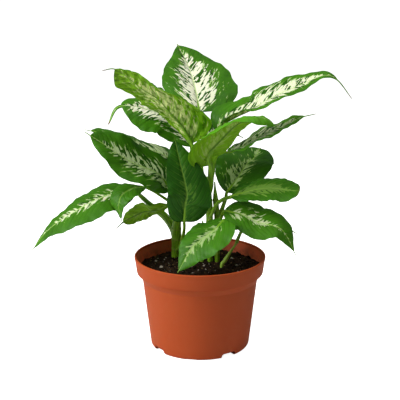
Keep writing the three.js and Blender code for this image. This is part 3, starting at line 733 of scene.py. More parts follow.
def make_blade(leaf, seed, settings):
    """Points, faces, slots and vectors of a leaf's blade, in millimetres."""
    t, spread, share, grid, reach, length = blade_sheet(leaf, seed)
    phase = vein_phase(t, reach, length, settings.vein_spacing / MM)
    out = np.abs(reach)
    u = np.abs(spread)[None, :]
    normal = unit(np.cross(np.gradient(grid, axis=1), np.gradient(grid, axis=0)))
    size = min(1, length / FULL_LENGTH)
    calm = smooth(*RIB_STRIP, out) * (1 - smooth(CALM_MARGIN, 1, u)) * np.minimum(1, 2 * share)[:, None]
    # The blade puffs up between its side veins, and swells and puckers in long slow waves
    quilt = np.abs(np.sin(np.pi * phase)) ** QUILT_BULGE
    uneven = np.sin(PUCKER_RATES[0] * phase + seed) * np.cos(PUCKER_RATES[1] * out + seed)
    uneven = PUCKER_SHARES[0] + PUCKER_SHARES[1] * uneven
    pucker = leaf["crumple"] * settings.vein_depth / MM * size * quilt * calm * uneven
    outwards, turn, lengthwise = SWELL_RATES
    swell = np.sin(outwards * out + turn * seed) * np.sin(lengthwise * t + seed)[:, None]
    creases = np.sin(CREASE_RATES[0] * out + CREASE_RATES[1] * phase)
    creases = creases * np.cos(CREASE_RATES[2] * phase - CREASE_RATES[3] * out)
    swell = (SWELL_HEIGHT * size * swell + CRUMPLE_HEIGHT * (leaf["crumple"] - 1) * creases) * calm
    middle = grid + normal * (pucker + swell)[:, :, None]
    # A groove over the midrib, a keel under it and a ridge under each side vein
    rib = (1 - t[:, None]) ** RIB_FADE
    margin = settings.margin_thickness
    half = 0.5 * (margin + (settings.blade_thickness - margin) * (1 - u ** 2)) / MM
    groove = GROOVE_DEPTH * size * rib * np.exp(-(out / (GROOVE_WIDTHS[0] + GROOVE_WIDTHS[1] * rib)) ** 2)
    keel = KEEL_DEPTH * size * rib * np.exp(-(out / (KEEL_WIDTHS[0] + KEEL_WIDTHS[1] * rib)) ** 4)
    ridge = RIDGE_HEIGHT * size * calm * np.exp(-((phase - np.round(phase)) / RIDGE_WIDTH) ** 2)
    upper = middle + normal * (half - groove)[:, :, None]
    lower = middle - normal * (half + keel + ridge)[:, :, None]
    rows, columns = out.shape
    below = rows * columns
    top_faces = grid_faces(rows, columns)
    low_faces = grid_faces(rows, columns, first=below, flip=True)
    index = np.arange(below).reshape(rows, columns)
    border = np.r_[index[0], index[1:, -1], index[-1, -2::-1], index[-2:0:-1, 0]].tolist()
    edge_faces = [(a, below + a, below + b, b) for a, b in zip(border, border[1:] + border[:1])]
    slots = [0] * len(top_faces) + [1] * len(low_faces) + [0] * len(edge_faces)
    points = np.concatenate([upper.reshape(-1, 3), lower.reshape(-1, 3)])
    vein = np.stack([reach / 10, phase, np.full_like(reach, seed)], -1).reshape(-1, 3)
    span = np.stack(np.broadcast_arrays(spread[None, :], t[:, None], out / 10), -1).reshape(-1, 3)
    return points, top_faces + low_faces + edge_faces, slots, np.tile(vein, (2, 1)), np.tile(span, (2, 1))


def sweep(centre, last_up, section, radii):
    """A closed bar along a line. section gives, for each step, the radius at each angle as a share."""
    ahead = unit(np.gradient(centre, axis=0))
    up = np.zeros_like(centre)
    carried = np.asarray(last_up, float)
    for step in reversed(range(len(centre))):
        carried = unit(carried - carried.dot(ahead[step]) * ahead[step])
        up[step] = carried
    side = np.cross(ahead, up)
    steps, sides = section.shape
    angles = np.arange(sides) / sides * 2 * np.pi
    wide = np.cos(angles)[None, :, None] * side[:, None, :]
    tall = np.sin(angles)[None, :, None] * up[:, None, :]
    rings = centre[:, None, :] + (section * radii[:, None])[:, :, None] * (wide + tall)
    points = np.concatenate([rings.reshape(-1, 3), centre[:1], centre[-1:]])
    return points, bar_faces(steps, sides, flip=True)


def stem_vectors(travelled, angles):
    """For each point of a swept stem: centimetres along it, and the cosine and sine of its angle."""
    vectors = np.stack([np.repeat(travelled / 10, len(angles)), np.tile(np.cos(angles), len(travelled)),
                        np.tile(np.sin(angles), len(travelled))], -1)
    return np.vstack([vectors, [[0, 0, 0], [travelled[-1] / 10, 0, 0]]])


def make_petiole(leaf):
    """Points, faces and vectors of a petiole: a sheath at the cane, a grooved stalk, the rib's start."""
    _, centre, up, _, length = midrib(leaf, SOLID_ROWS)
    drop = centre - RIB_DROP * up
    line, reach = curve_points([*leaf["petiole"], drop[0], drop[1], drop[3]], PETIOLE_STEPS)
    share = np.linspace(0, 1, PETIOLE_STEPS + 1)
    small = min(1, length / FULL_STALK_LENGTH) ** 0.5
    radii = along(leaf["stalk"], share) * small * (1 - STALK_THINNING * smooth(STALK_THIN_FROM, 1, share))
    angles = np.arange(SHEATH_SIDES) / SHEATH_SIDES * 2 * np.pi
    open_side = np.exp(-((angles - np.pi / 2) / SHEATH_GROOVE_WIDTH) ** 2)[None, :]
    groove = SHEATH_GROOVE * (1 - smooth(0.75, 0.95, share))[:, None]
    wings = SHEATH_WINGS * (1 - smooth(0.2, 0.6, share))[:, None] * np.abs(np.cos(angles))[None, :] ** 3
    points, faces = sweep(line, up[1], 1 - groove * open_side + wings, radii)
    return points, faces, stem_vectors(share * reach, angles)


def lump(radius, squash, turn, seed, bands):
    """Points and faces of a small uneven stone, by pushing the points of a ball of bands."""
    ball = []
    for band in range(1, bands):
        polar = math.pi * band / bands
        ball += ring(math.sin(polar), bands * 2, math.cos(polar))
    points = []
    for x, y, z in ball + [(0, 0, 1), (0, 0, -1)]:
        spot = Vector((x * LUMP_RATE + seed, y * LUMP_RATE, z * LUMP_RATE))
        bump = radius * (1 + LUMP_UNEVENNESS * noise.noise(spot))
        x, y, z = x * bump, y * bump * squash[0], z * bump * squash[1]
        points.append((x * math.cos(turn) - y * math.sin(turn), x * math.sin(turn) + y * math.cos(turn), z))
    return points, bar_faces(bands - 1, bands * 2, flip=True)


# Materials


class Value:
    """A value in a node tree. Sums on it add Math nodes."""

    def __init__(self, nodes, socket):
        self.nodes = nodes
        self.socket = socket

    def __add__(self, other):
        return self.nodes.math("ADD", self, other)

    def __sub__(self, other):
        return self.nodes.math("SUBTRACT", self, other)

    def __rsub__(self, other):
        return self.nodes.math("SUBTRACT", other, self)

    def __mul__(self, other):
        return self.nodes.math("MULTIPLY", self, other)

    def __truediv__(self, other):
        return self.nodes.math("DIVIDE", self, other)

    def __abs__(self):
        return self.nodes.math("ABSOLUTE", self)


class Nodes:
    """Adds nodes to a tree and joins them. Inputs are given by name or number, as values or constants."""

    def __init__(self, tree):
        self.tree = tree
        tree.nodes.clear()

    def wire(self, socket, value):
        if isinstance(value, Value):
            self.tree.links.new(value.socket, socket)
        else:
            socket.default_value = value

    def put(self, kind, inputs=None, **settings):
        node = self.tree.nodes.new(kind)
        for name, value in settings.items():
            setattr(node, name, value)
        for name, value in (inputs or {}).items():
            self.wire(node.inputs[name], value)
        return node

    def value(self, output, kind, inputs=None, **settings):
        return Value(self, self.put(kind, inputs, **settings).outputs[output])

    def math(self, operation, *values):
        return self.value(0, "ShaderNodeMath", dict(enumerate(values)), operation=operation)

    def ramp(self, value, low, high, first=0.0, last=1.0):
        """Runs smoothly from first to last as the value goes from low to high."""
        inputs = {"Value": value, "From Min": low, "From Max": high, "To Min": first, "To Max": last}
        return self.value("Result", "ShaderNodeMapRange", inputs, interpolation_type="SMOOTHSTEP")

    def mix(self, factor, first, second):
        inputs = {0: factor, 6: first, 7: second}
        return self.value(2, "ShaderNodeMix", inputs, data_type="RGBA", clamp_factor=True)

    def vector(self, x, y, z):
        return self.value(0, "ShaderNodeCombineXYZ", {0: x, 1: y, 2: z})

    def split(self, vector):
        node = self.put("ShaderNodeSeparateXYZ", {0: vector})
        return [Value(self, output) for output in node.outputs]

    def attribute(self, name):
        return self.split(self.value("Vector", "ShaderNodeAttribute", attribute_name=name))

    def place(self):
        return self.value("Object", "ShaderNodeTexCoord")

    def stretch(self, place, scale, rotation=(0.0, 0.0, 0.0)):
        return self.value(0, "ShaderNodeMapping", {"Vector": place, "Scale": scale, "Rotation": rotation})

    def noise(self, place, scale, detail=2.0, roughness=0.5, distortion=0.0):
        inputs = {"Vector": place, "Scale": scale, "Detail": detail, "Roughness": roughness,
                  "Distortion": distortion}
        return self.value(0, "ShaderNodeTexNoise", inputs)

    def cells(self, place, scale):
        return self.value("Distance", "ShaderNodeTexVoronoi", {"Vector": place, "Scale": scale})

    def camera_ray(self):
        return self.value("Is Camera Ray", "ShaderNodeLightPath")

    def group(self, tree, **values):
        node = self.put("ShaderNodeGroup", values, node_tree=tree)
        return {output.name: Value(self, output) for output in node.outputs}

    def surface(self, colour, roughness, height, depth, strength, **fixed):
        """The material's shader and output, with a bump of the given depth in metres."""
        bump = self.value(0, "ShaderNodeBump", {"Strength": strength, "Distance": depth, "Height": height})
        inputs = {"Base Color": colour, "Roughness": roughness, "Normal": bump}
        for name, value in fixed.items():
            inputs[name.replace("_", " ")] = value
        shader = self.value(0, "ShaderNodeBsdfPrincipled", inputs)
        self.put("ShaderNodeOutputMaterial", {"Surface": shader})


def new_material(name):
    """An empty material and its nodes."""
    material = bpy.data.materials.new(name)
    material.use_nodes = True
    return material, Nodes(material.node_tree)


def new_group(name, inputs, outputs):
    """An empty shader node group with named inputs and outputs, its nodes and the values it is given."""
    tree = bpy.data.node_groups.new(name, "ShaderNodeTree")
    for side, sockets in (("INPUT", inputs), ("OUTPUT", outputs)):
        for label, kind in sockets.items():
            tree.interface.new_socket(name=label, in_out=side, socket_type="NodeSocket" + kind)
    nodes = Nodes(tree)
    given = nodes.put("NodeGroupInput").outputs
    return tree, nodes, {label: Value(nodes, given[label]) for label in inputs}


def marbling_group():
    """The marbled pattern of a leaf, which follows its side veins, for the upper and the lower face."""
    colours = dict.fromkeys(("Deep", "Fresh", "Halo", "Cream"), "Color")
    masks = dict.fromkeys(("Pale", "Veins", "Rib", "Patch", "Cells", "Dry"), "Float")
    tree, nodes, given = new_group("Leaf marbling", colours, {"Colour": "Color", **masks})
    reach, phase, seed = nodes.attribute("vein")
    spread, t, out = nodes.attribute("span")
    zone, milk, fleck = nodes.attribute("marking")
    tone, pale, dry = nodes.attribute("cast")
    start, end, jag = nodes.attribute("extent")
    far = abs(reach)
    share = abs(spread)
    seeded = seed * LEAF_TURN + nodes.math("SIGN", reach) * HALF_TURN
    noises = {}
    for name, (outwards, lengthwise, shift, *look) in MARBLING.items():
        place = nodes.vector(far * outwards, phase * lengthwise, seeded + shift)
        noises[name] = nodes.noise(place, 1.0, *look)
    # The pale middle: how wide it is at each place along the blade, with feathered edges
    full, fall, cap = BASE_WIDTH
    low = nodes.math("MINIMUM", nodes.math("MAXIMUM", full - start * fall, 0.0), cap)
    rise = nodes.ramp(t, 0.0, start) * (1.0 - low)
    width = zone * nodes.ramp(t, end - END_FADE, end, 1.0, 0.0) * (low + rise)
    rough = (noises["streaks"] - 0.5) * STREAK_PUSH + (noises["flecks"] - 0.5) * FLECK_PUSH
    inside = (width - share) / EDGE_WIDTH + rough * jag
    halo = nodes.ramp(inside, *HALO_EDGE) * pale
    cream = nodes.ramp(inside, *CREAM_EDGE) * milk
    # Green specks in it, more of them towards its edge
    limit = SPECK_LIMIT - fleck * SPECK_GAIN - nodes.ramp(share / width, *SPECK_MARGIN)
    speckle = nodes.ramp(noises["spots"] - limit, 0.0, SPECK_EDGE)
    # Side veins, the finer ones between them and the midrib
    nearest = abs(phase - nodes.math("ROUND", phase))
    line = nodes.ramp(nearest, *VEIN_EDGE, 1.0, 0.0)
    finer = phase * FINE_VEINS
    fine = nodes.ramp(abs(finer - nodes.math("ROUND", finer)), *FINE_VEIN_EDGE, 1.0, 0.0)
    rib = nodes.ramp(out / (nodes.ramp(t, 0.0, 1.0, *RIB_WIDTHS) + 0.02), *RIB_EDGE, 1.0, 0.0)
    lift = tone + (noises["large"] - 0.5) * 0.7 + nodes.ramp(nearest, 0.0, 0.5) * 0.08 - fine * 0.05
    green = nodes.mix(lift, given["Deep"], given["Fresh"])
    green = nodes.mix(line * 0.12 * nodes.ramp(share, 0.2, 0.9, 1.0, 0.2), green, given["Halo"])
    colour = nodes.mix(halo * 0.85, green, given["Halo"])
    colour = nodes.mix(cream, colour, given["Cream"])
    speck = nodes.mix(0.8, green, given["Deep"])
    colour = nodes.mix(speckle * nodes.ramp(inside, -0.1, 0.1), colour, speck)
    ribbed = nodes.mix(cream * 0.45, given["Halo"], given["Cream"])
    nodes.put("NodeGroupOutput", {
        "Colour": nodes.mix(rib * nodes.ramp(pale, 0.2, 0.9, 0.3, 0.8), colour, ribbed),
        "Pale": (halo * 0.4 + cream * 0.6) * (1.0 - speckle),
        "Veins": line + fine * 0.35,
        "Rib": rib,
        "Patch": noises["patch"],
        "Cells": nodes.noise(nodes.vector(reach * 14.0, phase * 11.0, seed), 1.0),
        "Dry": nodes.ramp(t, *DRY_ZONE) * dry,
    })
    return tree


def leaf_materials(settings, stems):
    """The upper face, the lower face and the petiole of a leaf."""
    tree = marbling_group()
    colours = {"Deep": settings.deep, "Fresh": settings.fresh, "Halo": settings.halo, "Cream": settings.cream}
    flesh = {"Subsurface_Weight": 0.15, "Subsurface_Scale": 0.0012, "Subsurface_Radius": (0.6, 1.0, 0.3)}
    upper, nodes = new_material("Leaf upper face")
    marks = nodes.group(tree, **colours)
    height = marks["Veins"] * -0.5 + marks["Cells"] * 0.5
    roughness = marks["Cells"] * 0.12 + (marks["Pale"] * 0.08 + 0.4)
    nodes.surface(nodes.mix(marks["Dry"], marks["Colour"], DRY_TIP), roughness, height,
                  depth=0.00022, strength=0.5, Specular_IOR_Level=0.17, **flesh)
    lower, nodes = new_material("Leaf lower face")
    marks = nodes.group(tree, **colours)
    tone = nodes.attribute("cast")[0]
    mottle = nodes.attribute("marking")[2] * 1.1
    # Lower face: yellow green that is partly the blade's own colour and partly painted light passing through
    # it, lighter where the leaf's tone has been raised against shade
    colour = nodes.mix(nodes.ramp(tone, 0.1, 0.8), UNDER_DULL, settings.under)
    colour = nodes.mix(nodes.ramp(marks["Patch"], 0.46, 0.6) * mottle, colour, UNDER_PATCH)
    colour = nodes.mix(marks["Veins"] * 0.25, colour, UNDER_VEIN)
    colour = nodes.mix(marks["Pale"] * nodes.ramp(marks["Patch"], 0.42, 0.62, 0.95, 0.2), colour, UNDER_CREAM)
    colour = nodes.mix(marks["Rib"] * 0.85, colour, UNDER_RIB)
    height = marks["Veins"] + marks["Cells"] * 0.6
    nodes.surface(nodes.mix(marks["Dry"], colour, DRY_TIP), marks["Cells"] * 0.1 + 0.48, height,
                  depth=0.00025, strength=0.5, Specular_IOR_Level=0.2, **flesh)
    return upper, lower, stem_material("Petiole", stems)


def stem_material(name, settings, rings=0.0, fresh=0.0):
    """Smooth green stem skin with fine streaks along it, paler specks and, on a cane, brown ring scars."""
    material, nodes = new_material(name)
    length, cosine, sine = nodes.attribute("stem")
    streak, patch, speck = (
        nodes.noise(nodes.vector(length * lengthwise, cosine * around, sine * around), 1.0, detail)
        for lengthwise, around, detail in STEM_NOISES)
    colour = nodes.mix(nodes.ramp(streak, 0.35, 0.65), settings.shaded, settings.colour)
    colour = nodes.mix(nodes.ramp(patch, 0.45, 0.75) * 0.25, colour, STEM_PATCH)
    colour = nodes.mix(nodes.ramp(speck, 0.62, 0.7) * 0.3, colour, STEM_SPECK)
    if rings:
        turn = nodes.math("FRACT", length / rings)
        colour = nodes.mix(nodes.ramp(abs(turn - 0.5), 0.0, 0.06, 1.0, 0.0) * 0.55, colour, RING_SCAR)
    # A shoot is mixed towards a lighter green, partly for its young growth and partly as painted light that
    # lifts the shade it stands in
    if fresh:
        colour = nodes.mix(fresh, colour, YOUNG_AND_LIT_STEM)
    nodes.surface(colour, patch * 0.15 + 0.3, streak * 0.6 + speck * 0.2, depth=0.0003, strength=0.4,
                  Specular_IOR_Level=0.3, Subsurface_Weight=0.1, Subsurface_Scale=0.002,
                  Subsurface_Radius=(0.5, 1.0, 0.25))
    return material


def wear_group():
    """Wear of a handled plastic surface: masks of pale scuffs and of dust, and a fine uneven height."""
    masks = dict.fromkeys(("Scuff", "Height", "Dust"), "Float")
    tree, nodes, given = new_group("Plastic wear", {"Amount": "Float"}, masks)
    place = nodes.place()
    scratch = nodes.noise(nodes.stretch(place, (140.0, 140.0, 900.0)), 1.0, detail=3.0, roughness=0.6)
    broad = nodes.noise(place, 38.0, detail=3.0, roughness=0.6)
    grain = nodes.noise(place, 2600.0)
    nodes.put("NodeGroupOutput", {
        "Scuff": given["Amount"] * (nodes.ramp(scratch, 0.62, 0.72) * nodes.ramp(broad, 0.52, 0.7)),
        "Height": grain * 0.5 + broad * 0.5,
        "Dust": given["Amount"] * nodes.ramp(nodes.noise(place, 90.0, detail=5.0, roughness=0.7), 0.5, 0.72),
    })
    return tree


def pot_materials(settings):
    """The outer skin of the pot and its soil-stained inner wall, whose plastic is set lighter than the
    outside as painted light that lifts the shade in the pot.
    """
    wear = wear_group()
    glow = {"Subsurface_Weight": 0.35, "Subsurface_Scale": 0.0015, "Subsurface_Radius": (1.0, 0.35, 0.15)}
    outside, nodes = new_material("Pot plastic")
    marks = nodes.group(wear, Amount=0.5)
    cloud = nodes.noise(nodes.place(), 14.0, detail=3.0)
    colour = nodes.mix(nodes.ramp(cloud, 0.3, 0.7) * 0.16, settings.colour, POT_CLOUD)
    colour = nodes.mix(marks["Scuff"] * 0.35, colour, POT_SCUFF)
    colour = nodes.mix(marks["Dust"] * 0.04, colour, POT_DUST)
    nodes.surface(colour, cloud * 0.12 + (marks["Scuff"] * 0.2 + 0.5), marks["Height"],
                  depth=0.00006, strength=0.5, Specular_IOR_Level=0.15, **glow)
    inside, nodes = new_material("Pot inside")
    marks = nodes.group(wear, Amount=1.0)
    height = nodes.split(nodes.place())[2]
    stain = nodes.ramp(height, SOIL_LEVEL * MM, (POT_HEIGHT - RIM_CLEAN) * MM, 0.45, 0.05)
    smear = nodes.ramp(nodes.noise(nodes.place(), 120.0, detail=5.0, roughness=0.7), 0.4, 0.62) * stain
    # The inner wall starts from the lighter inside colour, which is painted light against the shade in the
    # pot, and soil is smeared over it
    colour = nodes.mix(smear, settings.inside, SOIL_STAIN)
    colour = nodes.mix(marks["Dust"] * 0.12, colour, INSIDE_DUST)
    nodes.surface(colour, smear * 0.3 + 0.5, marks["Height"], depth=0.0001, strength=0.5, **glow)
    return outside, inside


def soil_material(settings):
    """Damp dark peat with paler fibres."""
    material, nodes = new_material("Potting mix")
    place = nodes.place()
    clod = nodes.noise(place, 260.0, detail=4.0, roughness=0.6)
    lengthwise = nodes.stretch(place, (300.0, 1500.0, 600.0), (0.4, 0.2, 0.7))
    strand = nodes.noise(lengthwise, 1.0, roughness=0.6)
    colour = nodes.mix(nodes.ramp(clod, 0.35, 0.7), PEAT_SHADE, settings.colour)
    colour = nodes.mix(nodes.ramp(strand, 0.62, 0.75) * 0.5, colour, PEAT_FIBRE)
    height = nodes.noise(place, 900.0, detail=4.0, roughness=0.7) + clod * 0.6
    roughness = nodes.ramp(clod, 0.3, 0.7, 0.95, 0.75)
    nodes.surface(colour, roughness, height, depth=0.0009, strength=0.9, Specular_IOR_Level=0.15)
    return material


def perlite_material(settings):
    """Chalky white expanded grains with soil in their pits."""
    material, nodes = new_material("Perlite")
    place = nodes.place()
    pits = nodes.cells(place, 1400.0)
    colour = nodes.mix(nodes.ramp(pits, 0.25, 0.6), settings.perlite, PERLITE_PIT)
    stain = nodes.ramp(nodes.noise(place, 420.0, detail=3.0), 0.5, 0.66) * 0.75
    colour = nodes.mix(stain, colour, PERLITE_STAIN)
    nodes.surface(colour, nodes.ramp(pits, 0.0, 1.0, 0.75, 0.95), pits, depth=0.0006, strength=0.8)
    return material


def chip_material(settings):
    """Tan chips of bark and fibre, stained by the peat."""
    material, nodes = new_material("Bark chips")
    grain = nodes.noise(nodes.place(), 700.0, detail=3.0)
    colour = nodes.mix(nodes.ramp(grain, 0.38, 0.62), settings.chip, BARK_SHADE)
    nodes.surface(colour, nodes.ramp(grain, 0.0, 1.0, 0.7, 0.95), grain, depth=0.0004, strength=0.7)
    return material


def floor_material(colour):
    """Pale studio floor that glows towards the camera alone, so that it stays even to the horizon."""
    material, nodes = new_material("Pale floor")
    grain = nodes.noise(nodes.place(), 900.0)
    seen = nodes.camera_ray()
    shown = nodes.mix(seen, FLOOR_BOUNCE, nodes.mix(grain * 0.02, colour, FLOOR_GRAIN))
    nodes.surface(shown, grain * 0.05 + 0.85, grain, depth=0.0001, strength=0.1,
                  Specular_IOR_Level=0.1, Emission_Color=colour, Emission_Strength=seen)
    return material


# Operators


class PieceOperator:
    """What the operators below share: each can be undone and needs a scene"""
    bl_options = {"REGISTER", "UNDO"}

    @classmethod
    def poll(cls, context):
        return context.scene is not None


def body_radius(z):
    """The outer wall's radius between the foot and the shoulder, in millimetres."""
    foot = FOOT_RADIUS + FOOT_FLARE
    return foot + (SHOULDER_RADIUS - foot) * (z - FOOT_ROUND) / (SHOULDER_Z - FOOT_ROUND)


def inner_radius(z):
    """The inner wall's radius at a height, in millimetres."""
    if z >= BAND_BOTTOM_Z:
        share = (z - BAND_BOTTOM_Z) / (POT_HEIGHT - BAND_BOTTOM_Z)
        return BAND_BOTTOM_RADIUS + (RIM_RADIUS - BAND_BOTTOM_RADIUS) * share - WALL
    return FOOT_RADIUS + (SHOULDER_RADIUS - FOOT_RADIUS) * z / SHOULDER_Z - WALL


def notch_cutter(width, height, turn):
    """A bar with an arched section that lies across the pot's foot where a notch is cut."""
    arch = [(-width / 2, -height), (width / 2, -height)]
    top = (width / 2 - NOTCH_SHOULDER, height)
    arch += bend((width / 2, height / 3), (width / 2, height), top, NOTCH_STEPS)
    arch += [(-x, z) for x, z in reversed(arch[2:])]
    angle = math.radians(turn - 90)
    cosine = math.cos(angle)
    sine = math.sin(angle)
    points = [(depth * cosine - x * sine, depth * sine + x * cosine, z)
              for depth in (NOTCH_INNER_RADIUS, FOOT_RADIUS + NOTCH_OVERCUT) for x, z in arch]
    count = len(arch)
    ends = [tuple(reversed(range(count))), tuple(range(count, 2 * count))]
    return add_mesh("notch_cutter", points, ends + grid_faces(2, count, closed=True), [])


def cut_notches(piece, notches, growth=0.0):
    """Cuts drain notches, as (size, turn), from a piece's foot, each larger all round by the growth."""
    cutters = [notch_cutter(width + 2 * growth, height + growth, NOTCH_TURN + turn + quarter)
               for quarter in range(0, 360, 90) for (width, height), turn in notches]
    for cutter in cutters:
        change = piece.modifiers.new("Notch", "BOOLEAN")
        change.object = cutter
        change.operation = "DIFFERENCE"
        change.solver = "EXACT"
    bpy.context.view_layer.update()
    shaped = bpy.data.meshes.new_from_object(piece.evaluated_get(bpy.context.evaluated_depsgraph_get()))
    piece.modifiers.clear()
    piece.data = shaped
    for cutter in cutters:
        bpy.data.objects.remove(cutter)


class PLANT_OT_pot(PieceOperator, bpy.types.Operator):
    """Makes the plastic pot with its rolled rim, band and drain notches"""
    bl_idname = "plant.pot"
    bl_label = "Pot"

    def execute(self, context):
        settings = context.scene.dieffenbachia.pot
        corner = FOOT_ROUND * (1 - math.sqrt(0.5))
        under_band = BAND_BOTTOM_RADIUS - BAND_UNDERCUT
        outer = [
            (0, 0), (FOOT_RADIUS - FOOT_ROUND, 0), (FOOT_RADIUS - corner, corner),
            (FOOT_RADIUS + FOOT_FLARE, FOOT_ROUND), *((body_radius(z), z) for z in WALL_RINGS),
            (SHOULDER_RADIUS, SHOULDER_Z), (under_band, BAND_BOTTOM_Z - BAND_STEP),
            (under_band, BAND_BOTTOM_Z), (BAND_BOTTOM_RADIUS + BAND_LIP, BAND_BOTTOM_Z),
            (RIM_RADIUS - ROLL_DEPTH, POT_HEIGHT - ROLL_FOOT),
            (RIM_RADIUS, POT_HEIGHT - ROLL_BOTTOM), (RIM_RADIUS, POT_HEIGHT - ROLL_TOP),
        ]
        bead = RIM_RADIUS - WALL - settings.rim_bead / MM
        inner = [
            (bead, POT_HEIGHT), (bead, POT_HEIGHT - BEAD_HEIGHT),
            (RIM_RADIUS - WALL - BEAD_DEPTH, POT_HEIGHT - BEAD_FOOT),
            *((inner_radius(z), z) for z in (BAND_BOTTOM_Z, SHOULDER_Z, *reversed(WALL_RINGS), FOOT_ROUND)),
            (inner_radius(0) - FOOT_ROUND / 2, FLOOR), (0, FLOOR),
        ]
        points, faces = lathe(rounded(outer + inner), settings.segments)
        pot = add_mesh("pot_shell", points, faces, pot_materials(settings), smooth_angle=SMOOTH_ANGLE)
        cut_notches(pot, ((TALL_NOTCH, 0), (LOW_NOTCH, LOW_NOTCH_TURN)))
        for face in pot.data.polygons:
            x, y, z = face.center / MM
            inward = face.normal.x * x + face.normal.y * y < 0
            lined = FLOOR < z < POT_HEIGHT - STAIN_TOP and math.hypot(x, y) < inner_radius(z) + WALL / 2
            face.material_index = 1 if inward and lined else 0
        settle(pot, "pot", "pot")
        return {"FINISHED"}


def soil_height(x, y):
    """Height of the soil's surface in millimetres: the solid's mound and ripple, with clods on it."""
    away = math.hypot(x, y) / SHOULDER_RADIUS
    rate, shift, cross_rate = LONG_RIPPLE
    ripple = math.sin(x * rate + shift) * math.cos(y * cross_rate)
    height, rate, cross_rate = CROSS_RIPPLE
    ripple += height * math.sin(x * rate - y * cross_rate)
    height, rate, layer = GRIT
    clods = height * abs(noise.noise(Vector((x * rate, y * rate, layer))))
    for height, rate, layer in CLODS:
        clods += height * noise.noise(Vector((x * rate, y * rate, layer)))
    return SOIL_LEVEL + SOIL_MOUND * (1 - away * away) + SOIL_RIPPLE * ripple + clods


def scatter(draw, count, smallest, largest, bands, placed=()):
    """Small lumps strewn on the soil and any placed ones, sunk part of the way in: points and faces."""
    lumps = []
    edge = inner_radius(SOIL_LEVEL) - STREWN_EDGE
    for _ in range(count):
        radius = edge * math.sqrt(draw.random())
        angle = draw.uniform(0, 2 * math.pi)
        size = smallest + (largest - smallest) * draw.random() ** 3
        lift = draw.uniform(*LUMP_LIFTS)
        squash = (draw.uniform(*LUMP_WIDTHS), draw.uniform(*LUMP_HEIGHTS))
        turn = draw.uniform(0, math.pi)
        lumps.append((radius * math.cos(angle), radius * math.sin(angle), size, lift, squash, turn))
    lumps += [(x, y, size, *PLACED_LUMP) for x, y, size in placed]
    points = []
    faces = []
    for index, (x, y, size, lift, squash, turn) in enumerate(lumps):
        stone, sides = lump(size, squash, turn, index * 1.7, bands)
        z = soil_height(x, y) + size * lift
        faces += [tuple(len(points) + corner for corner in side) for side in sides]
        points += [(x + a, y + b, z + c) for a, b, c in stone]
    return points, faces


class PLANT_OT_soil(PieceOperator, bpy.types.Operator):
    """Makes the potting mix with its clods, crumbs, fibres and perlite"""
    bl_idname = "plant.soil"
    bl_label = "Soil"

    def execute(self, context):
        settings = context.scene.dieffenbachia.soil
        levels = [(inner_radius(0) - FOOT_ROUND, FLOOR + SOIL_FLOOR_GAP)]
        levels += [(inner_radius(z) - SOIL_EDGE_GAP, z) for z in (FOOT_ROUND, SHOULDER_Z)]
        points = [point for radius, height in levels for point in ring(radius, SOIL_STEPS, height)]
        edge = inner_radius(SOIL_LEVEL) - SOIL_EDGE_GAP
        for step in range(SOIL_RINGS, 0, -1):
            points += [(x, y, soil_height(x, y)) for x, y, _ in ring(edge * step / SOIL_RINGS, SOIL_STEPS)]
        centre = len(points)
        points.append((0, 0, soil_height(0, 0)))
        faces = grid_faces(len(levels) + SOIL_RINGS, SOIL_STEPS, closed=True)
        faces += fan(centre, centre - SOIL_STEPS, SOIL_STEPS)
        faces.append(tuple(range(SOIL_STEPS - 1, -1, -1)))
        peat = soil_material(settings)
        perlite = perlite_material(settings)
        bed = add_mesh("soil_bed", points, faces, [peat])
        cut_notches(bed, ((TALL_NOTCH, 0),), SOIL_EDGE_GAP)
        settle(bed, "soil", "soil")
        draw = random.Random(STREWN_SEED)
        strewn = (
            ("soil_crumbs", scatter(draw, settings.crumbs, *CRUMBS), peat),
            ("soil_perlite", scatter(draw, settings.grains, *GRAINS, LARGE_GRAINS), perlite),
            ("soil_chips", scatter(draw, settings.chips, *CHIPS), chip_material(settings)),
        )
        for name, lumps, material in strewn:
            settle(add_mesh(name, *lumps, [material]), "soil")
        return {"FINISHED"}


class PLANT_OT_canes(PieceOperator, bpy.types.Operator):
    """Makes the canes with their swollen rings"""
    bl_idname = "plant.canes"
    bl_label = "Canes"

    def execute(self, context):
        settings = context.scene.dieffenbachia.stems
        spacing = settings.node_spacing / MM
        skin = stem_material("Cane skin", settings, spacing / 10)
        young_and_lit_skin = stem_material("Shoot skin", settings, spacing / 10, SHOOT_LIGHTENING)
        angles = np.arange(CANE_SIDES) / CANE_SIDES * 2 * np.pi
        share = np.linspace(0, 1, CANE_STEPS + 1)
        for name, cane in CANES.items():
            line, length = curve_points(cane["points"], CANE_STEPS)
            travelled = share * length
            off = (travelled / spacing % 1 - 0.5) * spacing
            swell = 1 + RING_SWELL[0] * np.exp(-(off / RING_SWELL[1]) ** 2)
            swell -= RING_WAIST[0] * np.exp(-((off - RING_WAIST[2]) / RING_WAIST[1]) ** 2)
            radii = along(cane["radii"], share) * np.where(share > CANE_TOP, 1, swell)
            section = 1 + CANE_FLUTING * np.sin(2 * angles[None, :] + travelled[:, None] * 0.12)
            points, faces = sweep(line, (0, -1, 0), section, radii)
            piece = add_mesh(name + "_skin", points, faces, [young_and_lit_skin if name.startswith("shoot") else skin])
            add_vector(piece, "stem", stem_vectors(travelled, angles))
            settle(piece, "cane", name)
        return {"FINISHED"}


